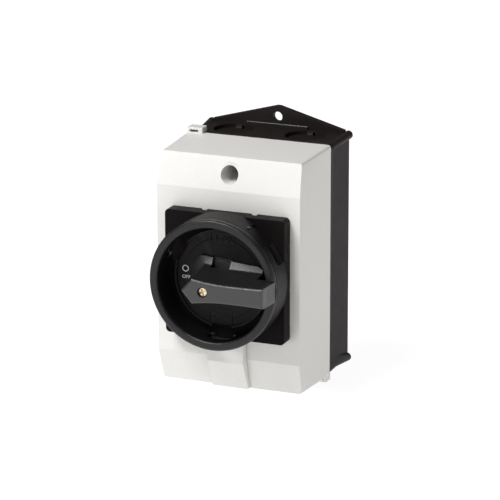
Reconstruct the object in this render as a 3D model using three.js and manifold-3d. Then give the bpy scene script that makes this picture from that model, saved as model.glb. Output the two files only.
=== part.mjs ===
// A three-pole rotary isolator switch in a small surface-mounting enclosure.
// Every piece is drawn as seen from the front: x to the right, y up, z out of the wall.
// The finished group is then stood against the wall, so that z becomes -Y and y becomes +Z.
// All sizes are in millimetres.
import * as THREE from "three";
import { mergeVertices } from "three/addons/utils/BufferGeometryUtils.js";
import { ConvexGeometry } from "three/addons/geometries/ConvexGeometry.js";
import Module from "manifold-3d";

const wasm = await Module();
wasm.setup();

// ---------------------------------------------------------------- driving dimensions

const gap = 0.3; // between pieces that touch
const past = 1; // how far a cutting tool runs past the face it cuts
const bite = 1; // how far joined shapes reach into each other

// the enclosure's outline where the cover meets the base
const width = 80;
const height = 124.6;
const cornerRadius = 3.5;

// rear base: a drafted tray with a pierced lug at each end
const baseDepth = 29.5;
const baseWall = 2.8;
const baseFloor = 3;
const baseCornerRadius = 2.5;
const baseRearDraft = 1.1;
const baseFrontStep = 0.3;
const lugThickness = 3;
const lugReach = 10.9;
const lugTipHalf = 1;
const lugShoulderInset = 3;
const lugShoulderReach = 1;
const lugRidgeHalf = 17;
const lugRidgeHeight = 1.1;
const fixingHoleRadius = 2.6;
const fixingHoleInset = 5.7;
const cornerRibRadius = 2.3;
const cornerRibWideRadius = 5.6;
const cornerRibProud = 2;
const cornerRibRise = 1;
const cornerRibFromRim = 4.5;
const knockoutRadius = 10.5;
const knockoutSpacing = 40;
const knockoutFromRim = 14.2;
const knockoutRecess = 1.9;
const knockoutNub = 1.6;
const coverBossRadius = 4.5;
const coverBossBore = 2.1;
const coverBossRoot = 9;
const footBossRadius = 5;
const footBossBore = 1.7;

// seal between base and cover, seated in a step of the base's rim
const sealEdge = 1.2;
const sealDepth = 2;
const sealCorner = 2;

// front cover: sloping bands above and below a flat middle
const coverFrontZ = 71;
const coverEndDrop = 4.8;
const creaseFromEnd = 18.1;
const endInset = 1.3;
const creaseNarrowing = 0.75;
const endNarrowing = 1.5;
const coverWall = 2.6;
const leastCorner = 0.8;
const spigotClearance = 0.4;
const screwWellFromEnd = 10.1;
const screwWellRadius = 4.75;
const screwWellWall = 1.7;
const screwWellFromRim = 3.7;
const screwWellFloor = 2.5;
const coverScrewHole = 2.3;
const coverScrewTipClear = 3;
const plateScrewHole = 1.9;
const loopWidth = 8.6;
const loopThickness = 2.9;
const loopReach = 4;
const loopOverlap = 2.6;
const loopFromSide = 1;
const loopSlotInset = 1.3;
const loopSlotWidth = 4.8;
const loopSlotHeight = 1.3;

// strip that hides the lower cover screw
const stripHalf = 10.1;
const stripTopProud = 4.6;
const stripBottomProud = 2.2;
const stripBreak = 1.5;
const stripPlugLength = 8;

// front plate, its collar, and the place of the handle's axis
const handleX = 1.2;
const handleY = 0.8;
const plateSide = 65.6;
const plateThickness = 7.7;
const plateCorner = 3;
const plateNotchSpacing = 27.4;
const plateNotchWidth = 3.4;
const plateNotchDepth = 1.5;
const plateNotchHeight = 2.5;
const spigotRadius = 20.6;
const spigotLength = 8.5;
const bushRoom = 2.6;
const bushStep = 1;
const plateSealRoom = 4.2;
const plateSealLand = 1.5;
const plateSealDepth = 1.2;
const collarRadius = 34.4;
const collarWall = 2.4;
const collarLength = 13;
const windowCount = 3;
const windowFirstClock = 60;
const windowWidth = 12.4;
const windowHeight = 7.6;
const windowFromPlate = 0.7;
const flatRecessDepth = 0.8;
const flatRecessAngle = 23;
const flatRecessBeforeWindow = 19;
const flatRecessShare = 0.55;
const collarNubClock = 29.5;
const collarNub = { half: 0.7, proud: 0.7, drop: 3, length: 2.5 };
const plateScrewOffset = 26;
const plateScrewBore = 1.7;
const plateScrewBoreDepth = 6;
const plateScrewReach = 5;

// turning ring and thumb grip
const ringInset = 0.5;
const ringWall = 4.1;
const ringDepth = 3.7;
const skirtWall = 1.4;
const gripFrontZ = 108;
const gripTipX = -11.8;
const gripShoulderX = -5.9;
const gripShoulderHalf = 6.65;
const gripWaistX = 12;
const gripWaistHalf = 4.9;
const gripTailInset = 1.5;
const gripTailHalf = 5.1;
const gripSpread = 3.1;
const gripFlareZ = 88;
const gripFootSpread = 5.2;
const spreadShare = { tip: 1.15, shoulder: 0.6, tail: 0.5, rim: 0.6 };
const gripTailFootInset = 9.9;
const gripTailClear = 1.2;
const gripWall = 2;
const gripHollowX = 3.1;
const gripHollowHalf = 8;
const gripMouthHalf = 3;
const gripNotchWidth = 9.8;
const gripNotchHeight = 4;
const hubRadius = 11.8;
const shaftSide = 7;
const shaftSunk = 2;
const shaftBoreDepth = 14;
const handleScrewSunk = 0.9;
const handleScrewReach = 12;
const handleScrewCrown = 2.05;

// legend disc inside the collar
const discRadius = 26;
const discThickness = 2.2;
const discLip = 1.1;
const discLipWidth = 1.1;
const discSlotWidth = 11;
const discSlotDepth = 1.8;

// screws: radius and height of the head, radius of the shank, and the reach, half width and depth
// of the drive; a crosshead has the drive twice
const screwSizes = {
  cover: { head: 3.8, height: 2.8, shank: 1.8, reach: 2.3, half: 0.45, depth: 1.4, crosshead: true },
  plate: { head: 3, height: 2, shank: 1.4, reach: 2, half: 0.4, depth: 0.8, crosshead: true },
  handle: { head: 2.35, height: 2.1, shank: 1.5, reach: 1.5, half: 0.28, depth: 0.9, crosshead: true },
  foot: { head: 3.8, height: 2.4, shank: 1.4, reach: 4, half: 0.5, depth: 1.2 },
  tie: { head: 2.8, height: 2, shank: 1.5, reach: 3, half: 0.4, depth: 1 },
  bar: { head: 2.2, height: 1.9, shank: 1.3, reach: 2.5, half: 0.35, depth: 0.9 },
};

// switch block behind the cover
const blockHalf = 23;
const blockCorner = 2.5;
const endPlateZ = 8;
const endPlateThickness = 3.5;
const earReach = 35.5;
const earHalf = 6;
const earScrewY = 30;
const earScrewHole = 2.2;
const chamberDepth = 14;
const chamberFloor = 2.2;
const latchDepth = 13;
const tieScrewOffset = 20;
const camWall = 0.926;
const camRoom = 1.1;
const contactTravel = 3;
const handleTurn = 90;
const camDepth = 8.6;
const plungerHalf = 2.6;
const plungerLength = 6.4;
const plungerTipHalf = 0.5;
const plungerTipLength = 2.2;
const plungerDepth = 4.4;
const bridgeHalf = 9;
const bridgeThickness = 1;
const bridgeDepth = 3.6;
const contactButton = { radius: 1.2, inset: 1.6, rear: 0.25, front: 0.5 };
const contactStripThickness = 1.2;
const contactStripDepth = 3.8;
const contactStripLap = 2.9;
const contactStripEnd = 1.6;
const pocketWall = 1.2;
const pocketRoom = 2.7;
const terminalY = 14.2;
const terminalScrewRadius = 1.4;
const terminalHeadRadius = 2.4;
const terminalHeadHeight = 2;
const terminalScrewLength = 2.4;
const terminalSlot = { half: 0.35, depth: 0.9 };
const latchFloor = 1.8;
const latchRoof = 2;
const latchPocketWall = 1.6;
const latchPocketHalf = 2.8;
const latchSlotHalf = 1.2;
const wheelRadius = 10.4;
const wheelBottom = 2.3;
const wheelThickness = 4.7;
const wheelNotchDepth = 1.1;
const wheelRoom = 0.8;
const wheelCollarWall = 1.026;
const stopArmReach = 4;
const stopArmHalf = 1.6;
const stopArmClear = 0.6;
const wheelNotches = 8;
const latchRollerRadius = 2.2;
const springWire = 0.35;
const springTurns = 4;
const contactSpringRadius = 1.9;
const latchSpringRadius = 1.6;

// earth and neutral blocks in the base
const barLength = 20;
const barWidth = 8;
const barHeight = 9;
const barX = 22;
const barFromEnd = 14.3;
const barScrewSpacing = 10;
const barScrewReach = 5;
const barBore = 1.6;
const barWireRadius = 1.9;
const barWireHeight = 3.4;

// ---------------------------------------------------------------- shape helpers

const degree = Math.PI / 180;

// a closed geometry made into a solid that can be joined and cut
function solid(geometry) {
  geometry.deleteAttribute("normal");
  geometry.deleteAttribute("uv");
  const merged = mergeVertices(geometry, 1e-4);
  return new wasm.Manifold(
    new wasm.Mesh({
      numProp: 3,
      vertProperties: merged.attributes.position.array,
      triVerts: new Uint32Array(merged.index.array),
    }),
  );
}

const join = (...pieces) => pieces.reduce((all, piece) => all.add(piece));
const cut = (body, ...tools) => tools.reduce((all, tool) => all.subtract(tool), body);

// an outline given as [x, y] points
const outline = (points) => new THREE.Shape(points.map(([x, y]) => new THREE.Vector2(x, y)));

function roundedRectangle(w, h, r) {
  const shape = new THREE.Shape();
  const [x, y] = [w / 2 - r, h / 2 - r];
  shape.absarc(x, y, r, 0, Math.PI / 2);
  shape.absarc(-x, y, r, Math.PI / 2, Math.PI);
  shape.absarc(-x, -y, r, Math.PI, 1.5 * Math.PI);
  shape.absarc(x, -y, r, 1.5 * Math.PI, 2 * Math.PI);
  return shape;
}

// an outline pushed along z
function prism(shape, zLow, zHigh, curveSegments = 4) {
  const geometry = new THREE.ExtrudeGeometry(shape, {
    depth: zHigh - zLow,
    bevelEnabled: false,
    curveSegments,
  });
  return solid(geometry.translate(0, 0, zLow));
}

// an outline of [y, z] points pushed along x
function sidePrism(points, xLow, xHigh) {
  const geometry = new THREE.ExtrudeGeometry(outline(points), {
    depth: xHigh - xLow,
    bevelEnabled: false,
  });
  const axes = new THREE.Matrix4().makeBasis(
    new THREE.Vector3(0, 1, 0),
    new THREE.Vector3(0, 0, 1),
    new THREE.Vector3(1, 0, 0),
  );
  geometry.applyMatrix4(axes.setPosition(xLow, 0, 0));
  return solid(geometry);
}

function box(x0, x1, y0, y1, z0, z1) {
  const geometry = new THREE.BoxGeometry(x1 - x0, y1 - y0, z1 - z0);
  return solid(geometry.translate((x0 + x1) / 2, (y0 + y1) / 2, (z0 + z1) / 2));
}

// a round bar along z
function rod(radius, zLow, zHigh, x = 0, y = 0, sides = 24, topRadius = radius) {
  const geometry = new THREE.CylinderGeometry(topRadius, radius, zHigh - zLow, sides);
  return solid(geometry.rotateX(Math.PI / 2).translate(x, y, (zLow + zHigh) / 2));
}

// a round bar along x
function crossRod(radius, xLow, xHigh, y, z, sides = 16) {
  const geometry = new THREE.CylinderGeometry(radius, radius, xHigh - xLow, sides);
  return solid(geometry.rotateZ(Math.PI / 2).translate((xLow + xHigh) / 2, y, z));
}

// a round bar along y
function uprightRod(radius, yLow, yHigh, x, z, sides = 16) {
  const geometry = new THREE.CylinderGeometry(radius, radius, yHigh - yLow, sides);
  return solid(geometry.translate(x, (yLow + yHigh) / 2, z));
}

function tube(outer, inner, zLow, zHigh, sides = 48, x = 0, y = 0) {
  return cut(rod(outer, zLow, zHigh, x, y, sides), rod(inner, zLow - past, zHigh + past, x, y, sides));
}

// a screw along z, its shank running from its tip into a head that stands on the seat
function screw(size, tip, seat, x = 0, y = 0, topRadius = size.head) {
  const top = seat + size.height;
  const head = rod(size.head, seat, top, x, y, 24, topRadius);
  const shank = rod(size.shank, tip, seat + bite, x, y, 14);
  const floor = top - size.depth;
  let drive = box(x - size.reach, x + size.reach, y - size.half, y + size.half, floor, top + past);
  if (size.crosshead) {
    drive = join(drive, box(x - size.half, x + size.half, y - size.reach, y + size.reach, floor, top + past));
  }
  return cut(join(head, shank), drive);
}

// the smallest convex body round a set of [x, y, z] points
const hull = (points) => solid(new ConvexGeometry(points.map((p) => new THREE.Vector3(...p))));

// the four corners of a square, as signs of x and y
const quarters = [[1, 1], [-1, 1], [-1, -1], [1, -1]];

// points round a rectangle with rounded corners, at one height
function ringPoints(halfX, halfY, r, z, steps = 4) {
  const points = [];
  for (const [sx, sy, start] of [[1, 1, 0], [-1, 1, 90], [-1, -1, 180], [1, -1, 270]]) {
    for (let i = 0; i <= steps; i++) {
      const a = (start + (90 * i) / steps) * degree;
      points.push([sx * (halfX - r) + r * Math.cos(a), sy * (halfY - r) + r * Math.sin(a), z]);
    }
  }
  return points;
}

// moved onto the handle's axis
const onAxis = (body) => body.translate([handleX, handleY, 0]);

// turned about the z axis to a clock angle, counted clockwise from twelve
const atClock = (body, clock) => body.rotate([0, 0, -clock]);

// a coil spring along z
class Helix extends THREE.Curve {
  constructor(radius, length, turns) {
    super();
    Object.assign(this, { radius, length, turns });
  }
  getPoint(t, target = new THREE.Vector3()) {
    const a = t * this.turns * 2 * Math.PI;
    return target.set(this.radius * Math.cos(a), this.radius * Math.sin(a), this.length * t);
  }
}

function coil(radius, wire, length, turns) {
  const section = new THREE.Shape();
  section.absarc(0, 0, wire, 0, 2 * Math.PI);
  const geometry = new THREE.ExtrudeGeometry(section, {
    steps: turns * 8,
    curveSegments: 2,
    bevelEnabled: false,
    extrudePath: new Helix(radius, length - 2 * wire, turns),
  });
  return solid(geometry.translate(0, 0, wire));
}

// ---------------------------------------------------------------- places worked out once

const half = { x: width / 2, y: height / 2 };
const creaseY = half.y - creaseFromEnd;
const coverEndZ = coverFrontZ - coverEndDrop;
const screwWellY = half.y - screwWellFromEnd;
const knockoutZ = baseDepth - knockoutFromRim;
const barY = barFromEnd - half.y;
const coverRimZ = baseDepth + gap;
const screwWellFloorZ = coverRimZ + screwWellFromRim;
const plateZ = coverFrontZ + gap;
const collarZ = plateZ + plateThickness;
const collarTopZ = collarZ + collarLength;
const windowZ = collarZ + windowFromPlate;
const windowPitch = 360 / windowCount;
const windowClocks = Array.from({ length: windowCount }, (_, i) => windowFirstClock + i * windowPitch);
const ringZ = collarTopZ + gap;
const ringFrontZ = ringZ + ringDepth;
const ringRadius = collarRadius - ringInset;
const gripTailX = ringRadius - gripTailInset;
const gripTailFootX = ringRadius - gripTailFootInset;
const discZ = collarZ + gap;
const discFaceZ = discZ + discThickness;
const gripFootZ = discFaceZ + gap;
const footLimit = discRadius - discLipWidth - 2 * gap;
const hubBottomZ = plateZ + gap;
const chamberZ = [0, 1].map((i) => endPlateZ + endPlateThickness + gap + i * (chamberDepth + gap));
const latchZ = chamberZ[1] + chamberDepth + gap;
const latchTopZ = latchZ + latchDepth;
const shaftTopZ = discFaceZ - shaftSunk;
const shaftBottomZ = endPlateZ + gap;
const shaftHoleRadius = shaftSide / Math.SQRT2 + 2 * gap;
const socketSide = shaftSide + 2 * gap;
const camRadius = socketSide / Math.SQRT2 + camWall + contactTravel;
const slope = (coverFrontZ - coverEndZ) / (half.y - endInset - creaseY);

// ---------------------------------------------------------------- rear base

const baseHull = (inset, zLow) =>
  hull([
    ...ringPoints(half.x - baseRearDraft - inset, half.y - baseFrontStep - inset, baseCornerRadius, zLow),
    ...ringPoints(
      half.x - baseFrontStep - inset,
      half.y - baseFrontStep - inset,
      baseCornerRadius,
      inset > 0 ? baseDepth + past : baseDepth,
    ),
  ]);

function lug(side) {
  const top = half.y + lugReach;
  const shoulder = half.y + lugShoulderReach;
  const shoulderHalf = half.x - lugShoulderInset;
  const root = half.y - baseWall;
  const plate = prism(
    outline([
      [-shoulderHalf, root],
      [shoulderHalf, root],
      [shoulderHalf, shoulder],
      [lugTipHalf, top],
      [-lugTipHalf, top],
      [-shoulderHalf, shoulder],
    ]),
    0,
    lugThickness,
  );
  const ridge = box(
    -lugRidgeHalf,
    lugRidgeHalf,
    root,
    half.y + lugRidgeHeight,
    lugThickness - bite,
    lugThickness + lugRidgeHeight,
  );
  const hole = rod(fixingHoleRadius, -past, lugThickness + past, 0, top - fixingHoleInset, 24);
  const whole = cut(join(plate, ridge), hole);
  return side > 0 ? whole : whole.rotate([0, 0, 180]);
}

// a corner rib that stands proud at the rear and runs out into the drafted wall
function cornerRib(sx, sy, frontRadius) {
  const rearX = half.x - baseRearDraft + cornerRibProud - cornerRibRadius;
  const rearY = half.y - baseFrontStep - cornerRibRadius + cornerRibRise;
  const frontX = half.x - baseFrontStep - frontRadius;
  const frontY = half.y - baseFrontStep - frontRadius;
  const frontZ = baseDepth - cornerRibFromRim;
  const points = [];
  const steps = 16;
  for (let i = 0; i < steps; i++) {
    const a = (i / steps) * 2 * Math.PI;
    const [c, s] = [Math.cos(a), Math.sin(a)];
    points.push([sx * (rearX + cornerRibRadius * c), sy * (rearY + cornerRibRadius * s), 0]);
    points.push([sx * (frontX + frontRadius * c), sy * (frontY + frontRadius * s), frontZ]);
  }
  return hull(points);
}

// a thinned round cable entry with a small lever notch left standing
function knockout(x, side) {
  const outer = half.y - baseFrontStep;
  const [low, high] = [outer - knockoutRecess, outer + 3 * past];
  const recess = uprightRod(knockoutRadius, low, high, x, knockoutZ, 24);
  const nub = box(
    x - knockoutNub,
    x + knockoutNub,
    low - past,
    outer - gap,
    knockoutZ - knockoutRadius - past,
    knockoutZ - knockoutRadius + 2 * knockoutNub,
  );
  const tool = cut(recess, nub);
  return side > 0 ? tool : tool.rotate([0, 0, 180]);
}

function rearBase() {
  let body = join(
    baseHull(0, 0),
    lug(1),
    lug(-1),
    cornerRib(-1, 1, cornerRibWideRadius),
    cornerRib(1, -1, cornerRibWideRadius),
    cornerRib(1, 1, cornerRibRadius),
    cornerRib(-1, -1, cornerRibRadius),
  );
  body = cut(body, baseHull(baseWall, baseFloor), sealSeat());
  for (const y of [screwWellY, -screwWellY]) {
    const boss = rod(coverBossRadius, baseFloor - bite, screwWellFloorZ - screwWellFloor - gap, 0, y, 20);
    body = cut(join(body, boss), rod(coverBossBore, baseFloor + coverBossRoot, screwWellFloorZ, 0, y, 16));
  }
  for (const y of [handleY + earScrewY, handleY - earScrewY]) {
    const boss = rod(footBossRadius, baseFloor - bite, endPlateZ - gap, handleX, y, 20);
    body = cut(join(body, boss), rod(footBossBore, baseFloor - bite, endPlateZ, handleX, y, 16));
  }
  for (const x of [-knockoutSpacing / 2, knockoutSpacing / 2]) {
    body = cut(body, knockout(x, 1), knockout(x, -1));
  }
  return body;
}

// the step in the base's rim that the seal lies in
function sealSeat() {
  const [x, y] = [half.x - baseFrontStep - sealEdge, half.y - baseFrontStep - sealEdge];
  return prism(roundedRectangle(2 * x, 2 * y, sealCorner), baseDepth - sealDepth, baseDepth + past);
}

function coverSeal() {
  const outer = baseFrontStep + sealEdge + gap;
  const inner = baseFrontStep + baseWall - gap;
  const rectangle = (inset) => roundedRectangle(2 * (half.x - inset), 2 * (half.y - inset), sealCorner);
  const ring = prism(rectangle(outer), baseDepth - sealDepth + gap, baseDepth);
  return cut(ring, prism(rectangle(inner), baseDepth - sealDepth - past, baseDepth + past));
}

function terminalBar(x) {
  const bottom = baseFloor + gap;
  const top = bottom + barHeight;
  const wireZ = bottom + barWireHeight;
  let body = box(x - barLength / 2, x + barLength / 2, barY - barWidth / 2, barY + barWidth / 2, bottom, top);
  for (const screwX of [x - barScrewSpacing / 2, x + barScrewSpacing / 2]) {
    const wireHole = uprightRod(barWireRadius, barY - barWidth, barY + barWidth, screwX, wireZ, 14);
    body = cut(body, wireHole, rod(barBore, wireZ, top + past, screwX, barY, 14));
  }
  return body;
}

function barScrew(x) {
  const top = baseFloor + gap + barHeight;
  return screw(screwSizes.bar, top - barScrewReach, top + gap, x, barY);
}

// ---------------------------------------------------------------- front cover

function coverHull(inset) {
  const corner = Math.max(cornerRadius - inset, leastCorner);
  const rim = inset > 0 ? coverRimZ - past : coverRimZ;
  const points = ringPoints(half.x - inset, half.y - inset, corner, rim);
  for (const sx of [-1, 1]) {
    for (const sy of [-1, 1]) {
      const creaseX = half.x - creaseNarrowing - inset;
      const endX = half.x - endNarrowing - inset;
      points.push([sx * creaseX, sy * creaseY, coverFrontZ - inset]);
      points.push([sx * endX, sy * (half.y - endInset - inset), coverEndZ - inset]);
    }
  }
  return hull(points);
}

// a low loop for a sealing wire, reaching back from the cover's rim over the base
function sealLoop(side) {
  const x1 = -half.x + loopFromSide;
  const x0 = x1 + loopWidth;
  const y0 = half.y - coverWall / 2;
  const y1 = half.y + loopThickness;
  const clearY = half.y + gap;
  const rim = box(x1, x0, y0, y1, coverRimZ, coverRimZ + loopOverlap);
  const reach = box(x1, x0, clearY, y1, coverRimZ - loopReach, coverRimZ + past);
  const slot = box(
    x1 + loopSlotInset,
    x1 + loopSlotInset + loopSlotWidth,
    clearY,
    clearY + loopSlotHeight,
    coverRimZ - loopReach - past,
    coverRimZ + loopOverlap + past,
  );
  const whole = cut(join(rim, reach), slot);
  return side > 0 ? whole : whole.rotate([0, 0, 180]);
}

function frontCover() {
  let body = cut(coverHull(0), coverHull(coverWall));
  const bottomZ = screwWellFloorZ - screwWellFloor;
  for (const y of [screwWellY, -screwWellY]) {
    const well = rod(screwWellRadius + screwWellWall, bottomZ, coverFrontZ, 0, y, 28);
    body = join(body, well.intersect(coverHull(coverWall / 2)));
    body = cut(
      body,
      rod(screwWellRadius, screwWellFloorZ, coverFrontZ + past, 0, y, 28),
      rod(coverScrewHole, bottomZ - past, coverFrontZ, 0, y, 16),
    );
  }
  const through = (radius, x, y, sides) =>
    rod(radius, coverFrontZ - 2 * coverWall, coverFrontZ + past, handleX + x, handleY + y, sides);
  body = cut(body, through(spigotRadius + spigotClearance, 0, 0, 48));
  for (const [sx, sy] of quarters) {
    body = cut(body, through(plateScrewHole, sx * plateScrewOffset, sy * plateScrewOffset, 16));
  }
  return join(body, sealLoop(1), sealLoop(-1));
}

function coverScrew(side) {
  const tip = baseFloor + coverBossRoot + coverScrewTipClear;
  return screw(screwSizes.cover, tip, screwWellFloorZ + gap, 0, side * screwWellY);
}

function screwCoverStrip() {
  const topY = handleY - plateSide / 2 - gap;
  const breakY = -creaseY - stripBreak;
  const endY = -half.y + endInset - gap;
  const face = (y) => coverFrontZ + gap - slope * Math.max(0, -y - creaseY);
  const bar = sidePrism(
    [
      [topY, face(topY)],
      [-creaseY, face(-creaseY)],
      [endY, face(endY)],
      [endY, face(endY) + stripBottomProud],
      [breakY, coverFrontZ + stripTopProud],
      [topY, coverFrontZ + stripTopProud],
    ],
    -stripHalf,
    stripHalf,
  );
  const plugTop = face(-screwWellY - screwWellRadius) + stripBottomProud / 2;
  const plug = rod(screwWellRadius - gap, coverFrontZ - stripPlugLength, plugTop, 0, -screwWellY, 24);
  return join(bar, plug);
}

// ---------------------------------------------------------------- front plate and legend

function frontPlate() {
  let body = cut(prism(roundedRectangle(plateSide, plateSide, plateCorner), plateZ, collarZ), plateNotches());
  body = join(
    body,
    rod(collarRadius, collarZ - bite, collarTopZ, 0, 0, 60),
    rod(spigotRadius, plateZ - spigotLength, plateZ + bite, 0, 0, 48),
  );
  body = cut(
    body,
    rod(collarRadius - collarWall, collarZ, collarTopZ + past, 0, 0, 60),
    rod(hubRadius + bushRoom, plateZ - spigotLength - past, collarZ + past, 0, 0, 40),
    tube(spigotRadius + plateSealRoom, spigotRadius, plateZ - past, plateZ + plateSealDepth, 36),
    windows(collarRadius - 2 * collarWall, windowZ),
    windowRecesses(),
  );
  for (const [sx, sy] of quarters) {
    const [x, y] = [sx * plateScrewOffset, sy * plateScrewOffset];
    body = cut(body, rod(plateScrewBore, plateZ - past, plateZ + plateScrewBoreDepth, x, y, 16));
  }
  return onAxis(join(body, collarMark()));
}

// two prying notches in the rear edge of the plate's top and of its bottom
function plateNotches() {
  const notches = [];
  for (const clock of [0, 180]) {
    for (const x of [-plateNotchSpacing / 2, plateNotchSpacing / 2]) {
      const notch = box(
        x - plateNotchWidth / 2,
        x + plateNotchWidth / 2,
        plateSide / 2 - plateNotchDepth,
        plateSide / 2 + past,
        plateZ - past,
        plateZ + plateNotchHeight,
      );
      notches.push(atClock(notch, clock));
    }
  }
  return join(...notches);
}

// the padlock windows, cut outwards from an inner radius
function windows(innerRadius, zLow) {
  const opening = box(
    -windowWidth / 2,
    windowWidth / 2,
    innerRadius,
    collarRadius + past,
    zLow,
    windowZ + windowHeight,
  );
  return join(...windowClocks.map((clock) => atClock(opening, clock)));
}

// a shallow recess in the collar before each window
function windowRecesses() {
  const band = tube(
    collarRadius + past,
    collarRadius - flatRecessDepth,
    windowZ,
    windowZ + windowHeight * flatRecessShare,
    60,
  );
  const recess = cut(band, sectorLeftOver(flatRecessAngle));
  return join(...windowClocks.map((clock) => atClock(recess, clock - flatRecessBeforeWindow)));
}

// the raised mark that shows where the ring's mark stands at rest
function collarMark() {
  const mark = box(
    -collarNub.half,
    collarNub.half,
    collarRadius - bite / 2,
    collarRadius + collarNub.proud,
    collarTopZ - collarNub.drop - collarNub.length,
    collarTopZ - collarNub.drop,
  );
  return atClock(mark, collarNubClock);
}

// everything but a sector of the given angle centred on twelve o'clock
function sectorLeftOver(angle) {
  const a = (angle / 2) * degree;
  const r = 2 * collarRadius;
  const shape = outline([
    [0, 0],
    [r * Math.sin(a), r * Math.cos(a)],
    [r, r],
    [r, -r],
    [-r, -r],
    [-r, r],
    [-r * Math.sin(a), r * Math.cos(a)],
  ]);
  return prism(shape, 0, 2 * coverFrontZ);
}

const plateSeal = () =>
  onAxis(
    tube(
      spigotRadius + plateSealRoom - gap,
      spigotRadius + plateSealLand,
      plateZ,
      plateZ + plateSealDepth - gap,
      36,
    ),
  );

// driven from behind the cover into the plate
function plateScrew(sx, sy) {
  const [x, y] = [handleX + sx * plateScrewOffset, handleY + sy * plateScrewOffset];
  const seat = coverFrontZ - coverWall - gap;
  return screw(screwSizes.plate, -plateZ - plateScrewReach, -seat, x, -y).rotate([180, 0, 0]);
}

const shaftBush = () =>
  onAxis(
    tube(hubRadius + bushRoom - gap, hubRadius + gap, plateZ - spigotLength + bushStep, collarZ - gap, 40),
  );

function legendDisc() {
  const slot = box(
    -discSlotWidth / 2,
    discSlotWidth / 2,
    discRadius - discSlotDepth,
    discRadius + past,
    discZ - past,
    discFaceZ + 2 * discLip,
  );
  const body = cut(
    rod(discRadius, discZ, discFaceZ + discLip, 0, 0, 64),
    rod(discRadius - discLipWidth, discFaceZ, discFaceZ + 2 * discLip, 0, 0, 64),
    rod(hubRadius + gap, discZ - past, discFaceZ + past, 0, 0, 48),
    ...windowClocks.map((clock) => atClock(slot, clock)),
  );
  return onAxis(body);
}

// ---------------------------------------------------------------- turning parts

// the grip's outline on one side of its waist, spread outwards by a given amount
const nosePoints = (spread, z) => [
  [gripTipX - spread * spreadShare.tip, 0, z],
  [gripShoulderX - spread * spreadShare.shoulder, gripShoulderHalf + spread, z],
  [gripWaistX, gripWaistHalf + spread, z],
  [gripShoulderX - spread * spreadShare.shoulder, -gripShoulderHalf - spread, z],
  [gripWaistX, -gripWaistHalf - spread, z],
];

const tailPoints = (spread, z, endX) => [
  [gripWaistX, gripWaistHalf + spread, z],
  [endX, gripTailHalf + spread * spreadShare.tail, z],
  [gripWaistX, -gripWaistHalf - spread, z],
  [endX, -gripTailHalf - spread * spreadShare.tail, z],
];

function gripBody(inset) {
  const top = gripFrontZ - 1.5 * inset;
  const spread = gripSpread - inset;
  const nose = hull([...nosePoints(-inset, top), ...nosePoints(spread, gripFlareZ)]);
  const tail = hull([
    ...tailPoints(-inset, top, gripTailX - 2 * inset),
    ...tailPoints(spread * spreadShare.rim, ringFrontZ, ringRadius - 1 - 2 * inset),
    ...tailPoints(spread, gripFlareZ, gripTailFootX),
  ]);
  return join(nose, tail);
}

// the flared foot that spreads the grip over the legend disc
function gripFoot() {
  const points = (spread, z) => [...nosePoints(spread, z), ...tailPoints(spread, z, gripTailFootX)];
  const flare = hull([...points(gripSpread, gripFlareZ), ...points(gripFootSpread, gripFootZ)]);
  return flare.intersect(rod(footLimit, 0, gripFlareZ, 0, 0, 64));
}

// the room inside the grip, open towards the hub
function gripHollow() {
  const room = box(
    gripHollowX,
    gripTailFootX - gripWall / 2,
    -gripHollowHalf,
    gripHollowHalf,
    gripFlareZ,
    gripFrontZ,
  );
  const mouth = box(
    hubRadius - gripWall,
    gripTailFootX - 2 * gripWall,
    -gripMouthHalf,
    gripMouthHalf,
    gripFootZ - past,
    gripFlareZ + past,
  );
  return join(gripBody(gripWall).intersect(room), mouth);
}

function thumbGrip() {
  const tailZ = ringZ + gripTailClear;
  const reach = ringRadius + past;
  const underTail = box(gripTailFootX - 2 * bite, reach, -hubRadius, hubRadius, 0, tailZ);
  const notch = box(
    -gripNotchWidth / 2,
    gripNotchWidth / 2,
    gripShoulderHalf,
    hubRadius + past,
    discFaceZ,
    discFaceZ + gripNotchHeight,
  );
  const socket = socketSide / 2;
  const { shank, head, height: headHeight } = screwSizes.handle;
  const seatZ = gripFrontZ - handleScrewSunk - headHeight;
  const body = cut(
    join(gripBody(0), gripFoot(), rod(hubRadius, hubBottomZ, gripFootZ + bite, 0, 0, 40)),
    cut(underTail, rod(footLimit, 0, tailZ + past)),
    notch,
    gripHollow(),
    box(-socket, socket, -socket, socket, hubBottomZ - past, shaftTopZ + gap),
    rod(shank + gap, shaftTopZ - past, gripFrontZ + past, 0, 0, 16),
    rod(head + gap, seatZ - gap, gripFrontZ + past, 0, 0, 28),
  );
  return onAxis(body);
}

function lockingRing() {
  const inner = ringRadius - ringWall;
  const skirtOuter = collarRadius - collarWall - gap;
  const rim = tube(ringRadius, inner, ringZ, ringFrontZ, 60);
  const skirt = tube(skirtOuter, skirtOuter - skirtWall, collarZ + gap, ringZ + bite, 60);
  const seatHalf = gripTailHalf + gripSpread;
  const seat = box(0, ringRadius + past, -seatHalf, seatHalf, ringZ + gripTailClear - gap, ringFrontZ + past);
  return onAxis(cut(join(rim, skirt), windows(inner - past, collarZ), seat));
}

function handleScrew() {
  const seat = gripFrontZ - handleScrewSunk - screwSizes.handle.height;
  const body = screw(screwSizes.handle, shaftTopZ - handleScrewReach, seat, 0, 0, handleScrewCrown);
  return onAxis(body);
}

function driveShaft() {
  const s = shaftSide / 2;
  const bore = rod(screwSizes.handle.shank + gap, shaftTopZ - shaftBoreDepth, shaftTopZ + past, 0, 0, 14);
  return onAxis(cut(box(-s, s, -s, s, shaftBottomZ, shaftTopZ), bore));
}

// ---------------------------------------------------------------- switch block

const blockPlate = (zLow, zHigh) =>
  prism(roundedRectangle(2 * blockHalf, 2 * blockHalf, blockCorner), zLow, zHigh, 3);

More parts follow.
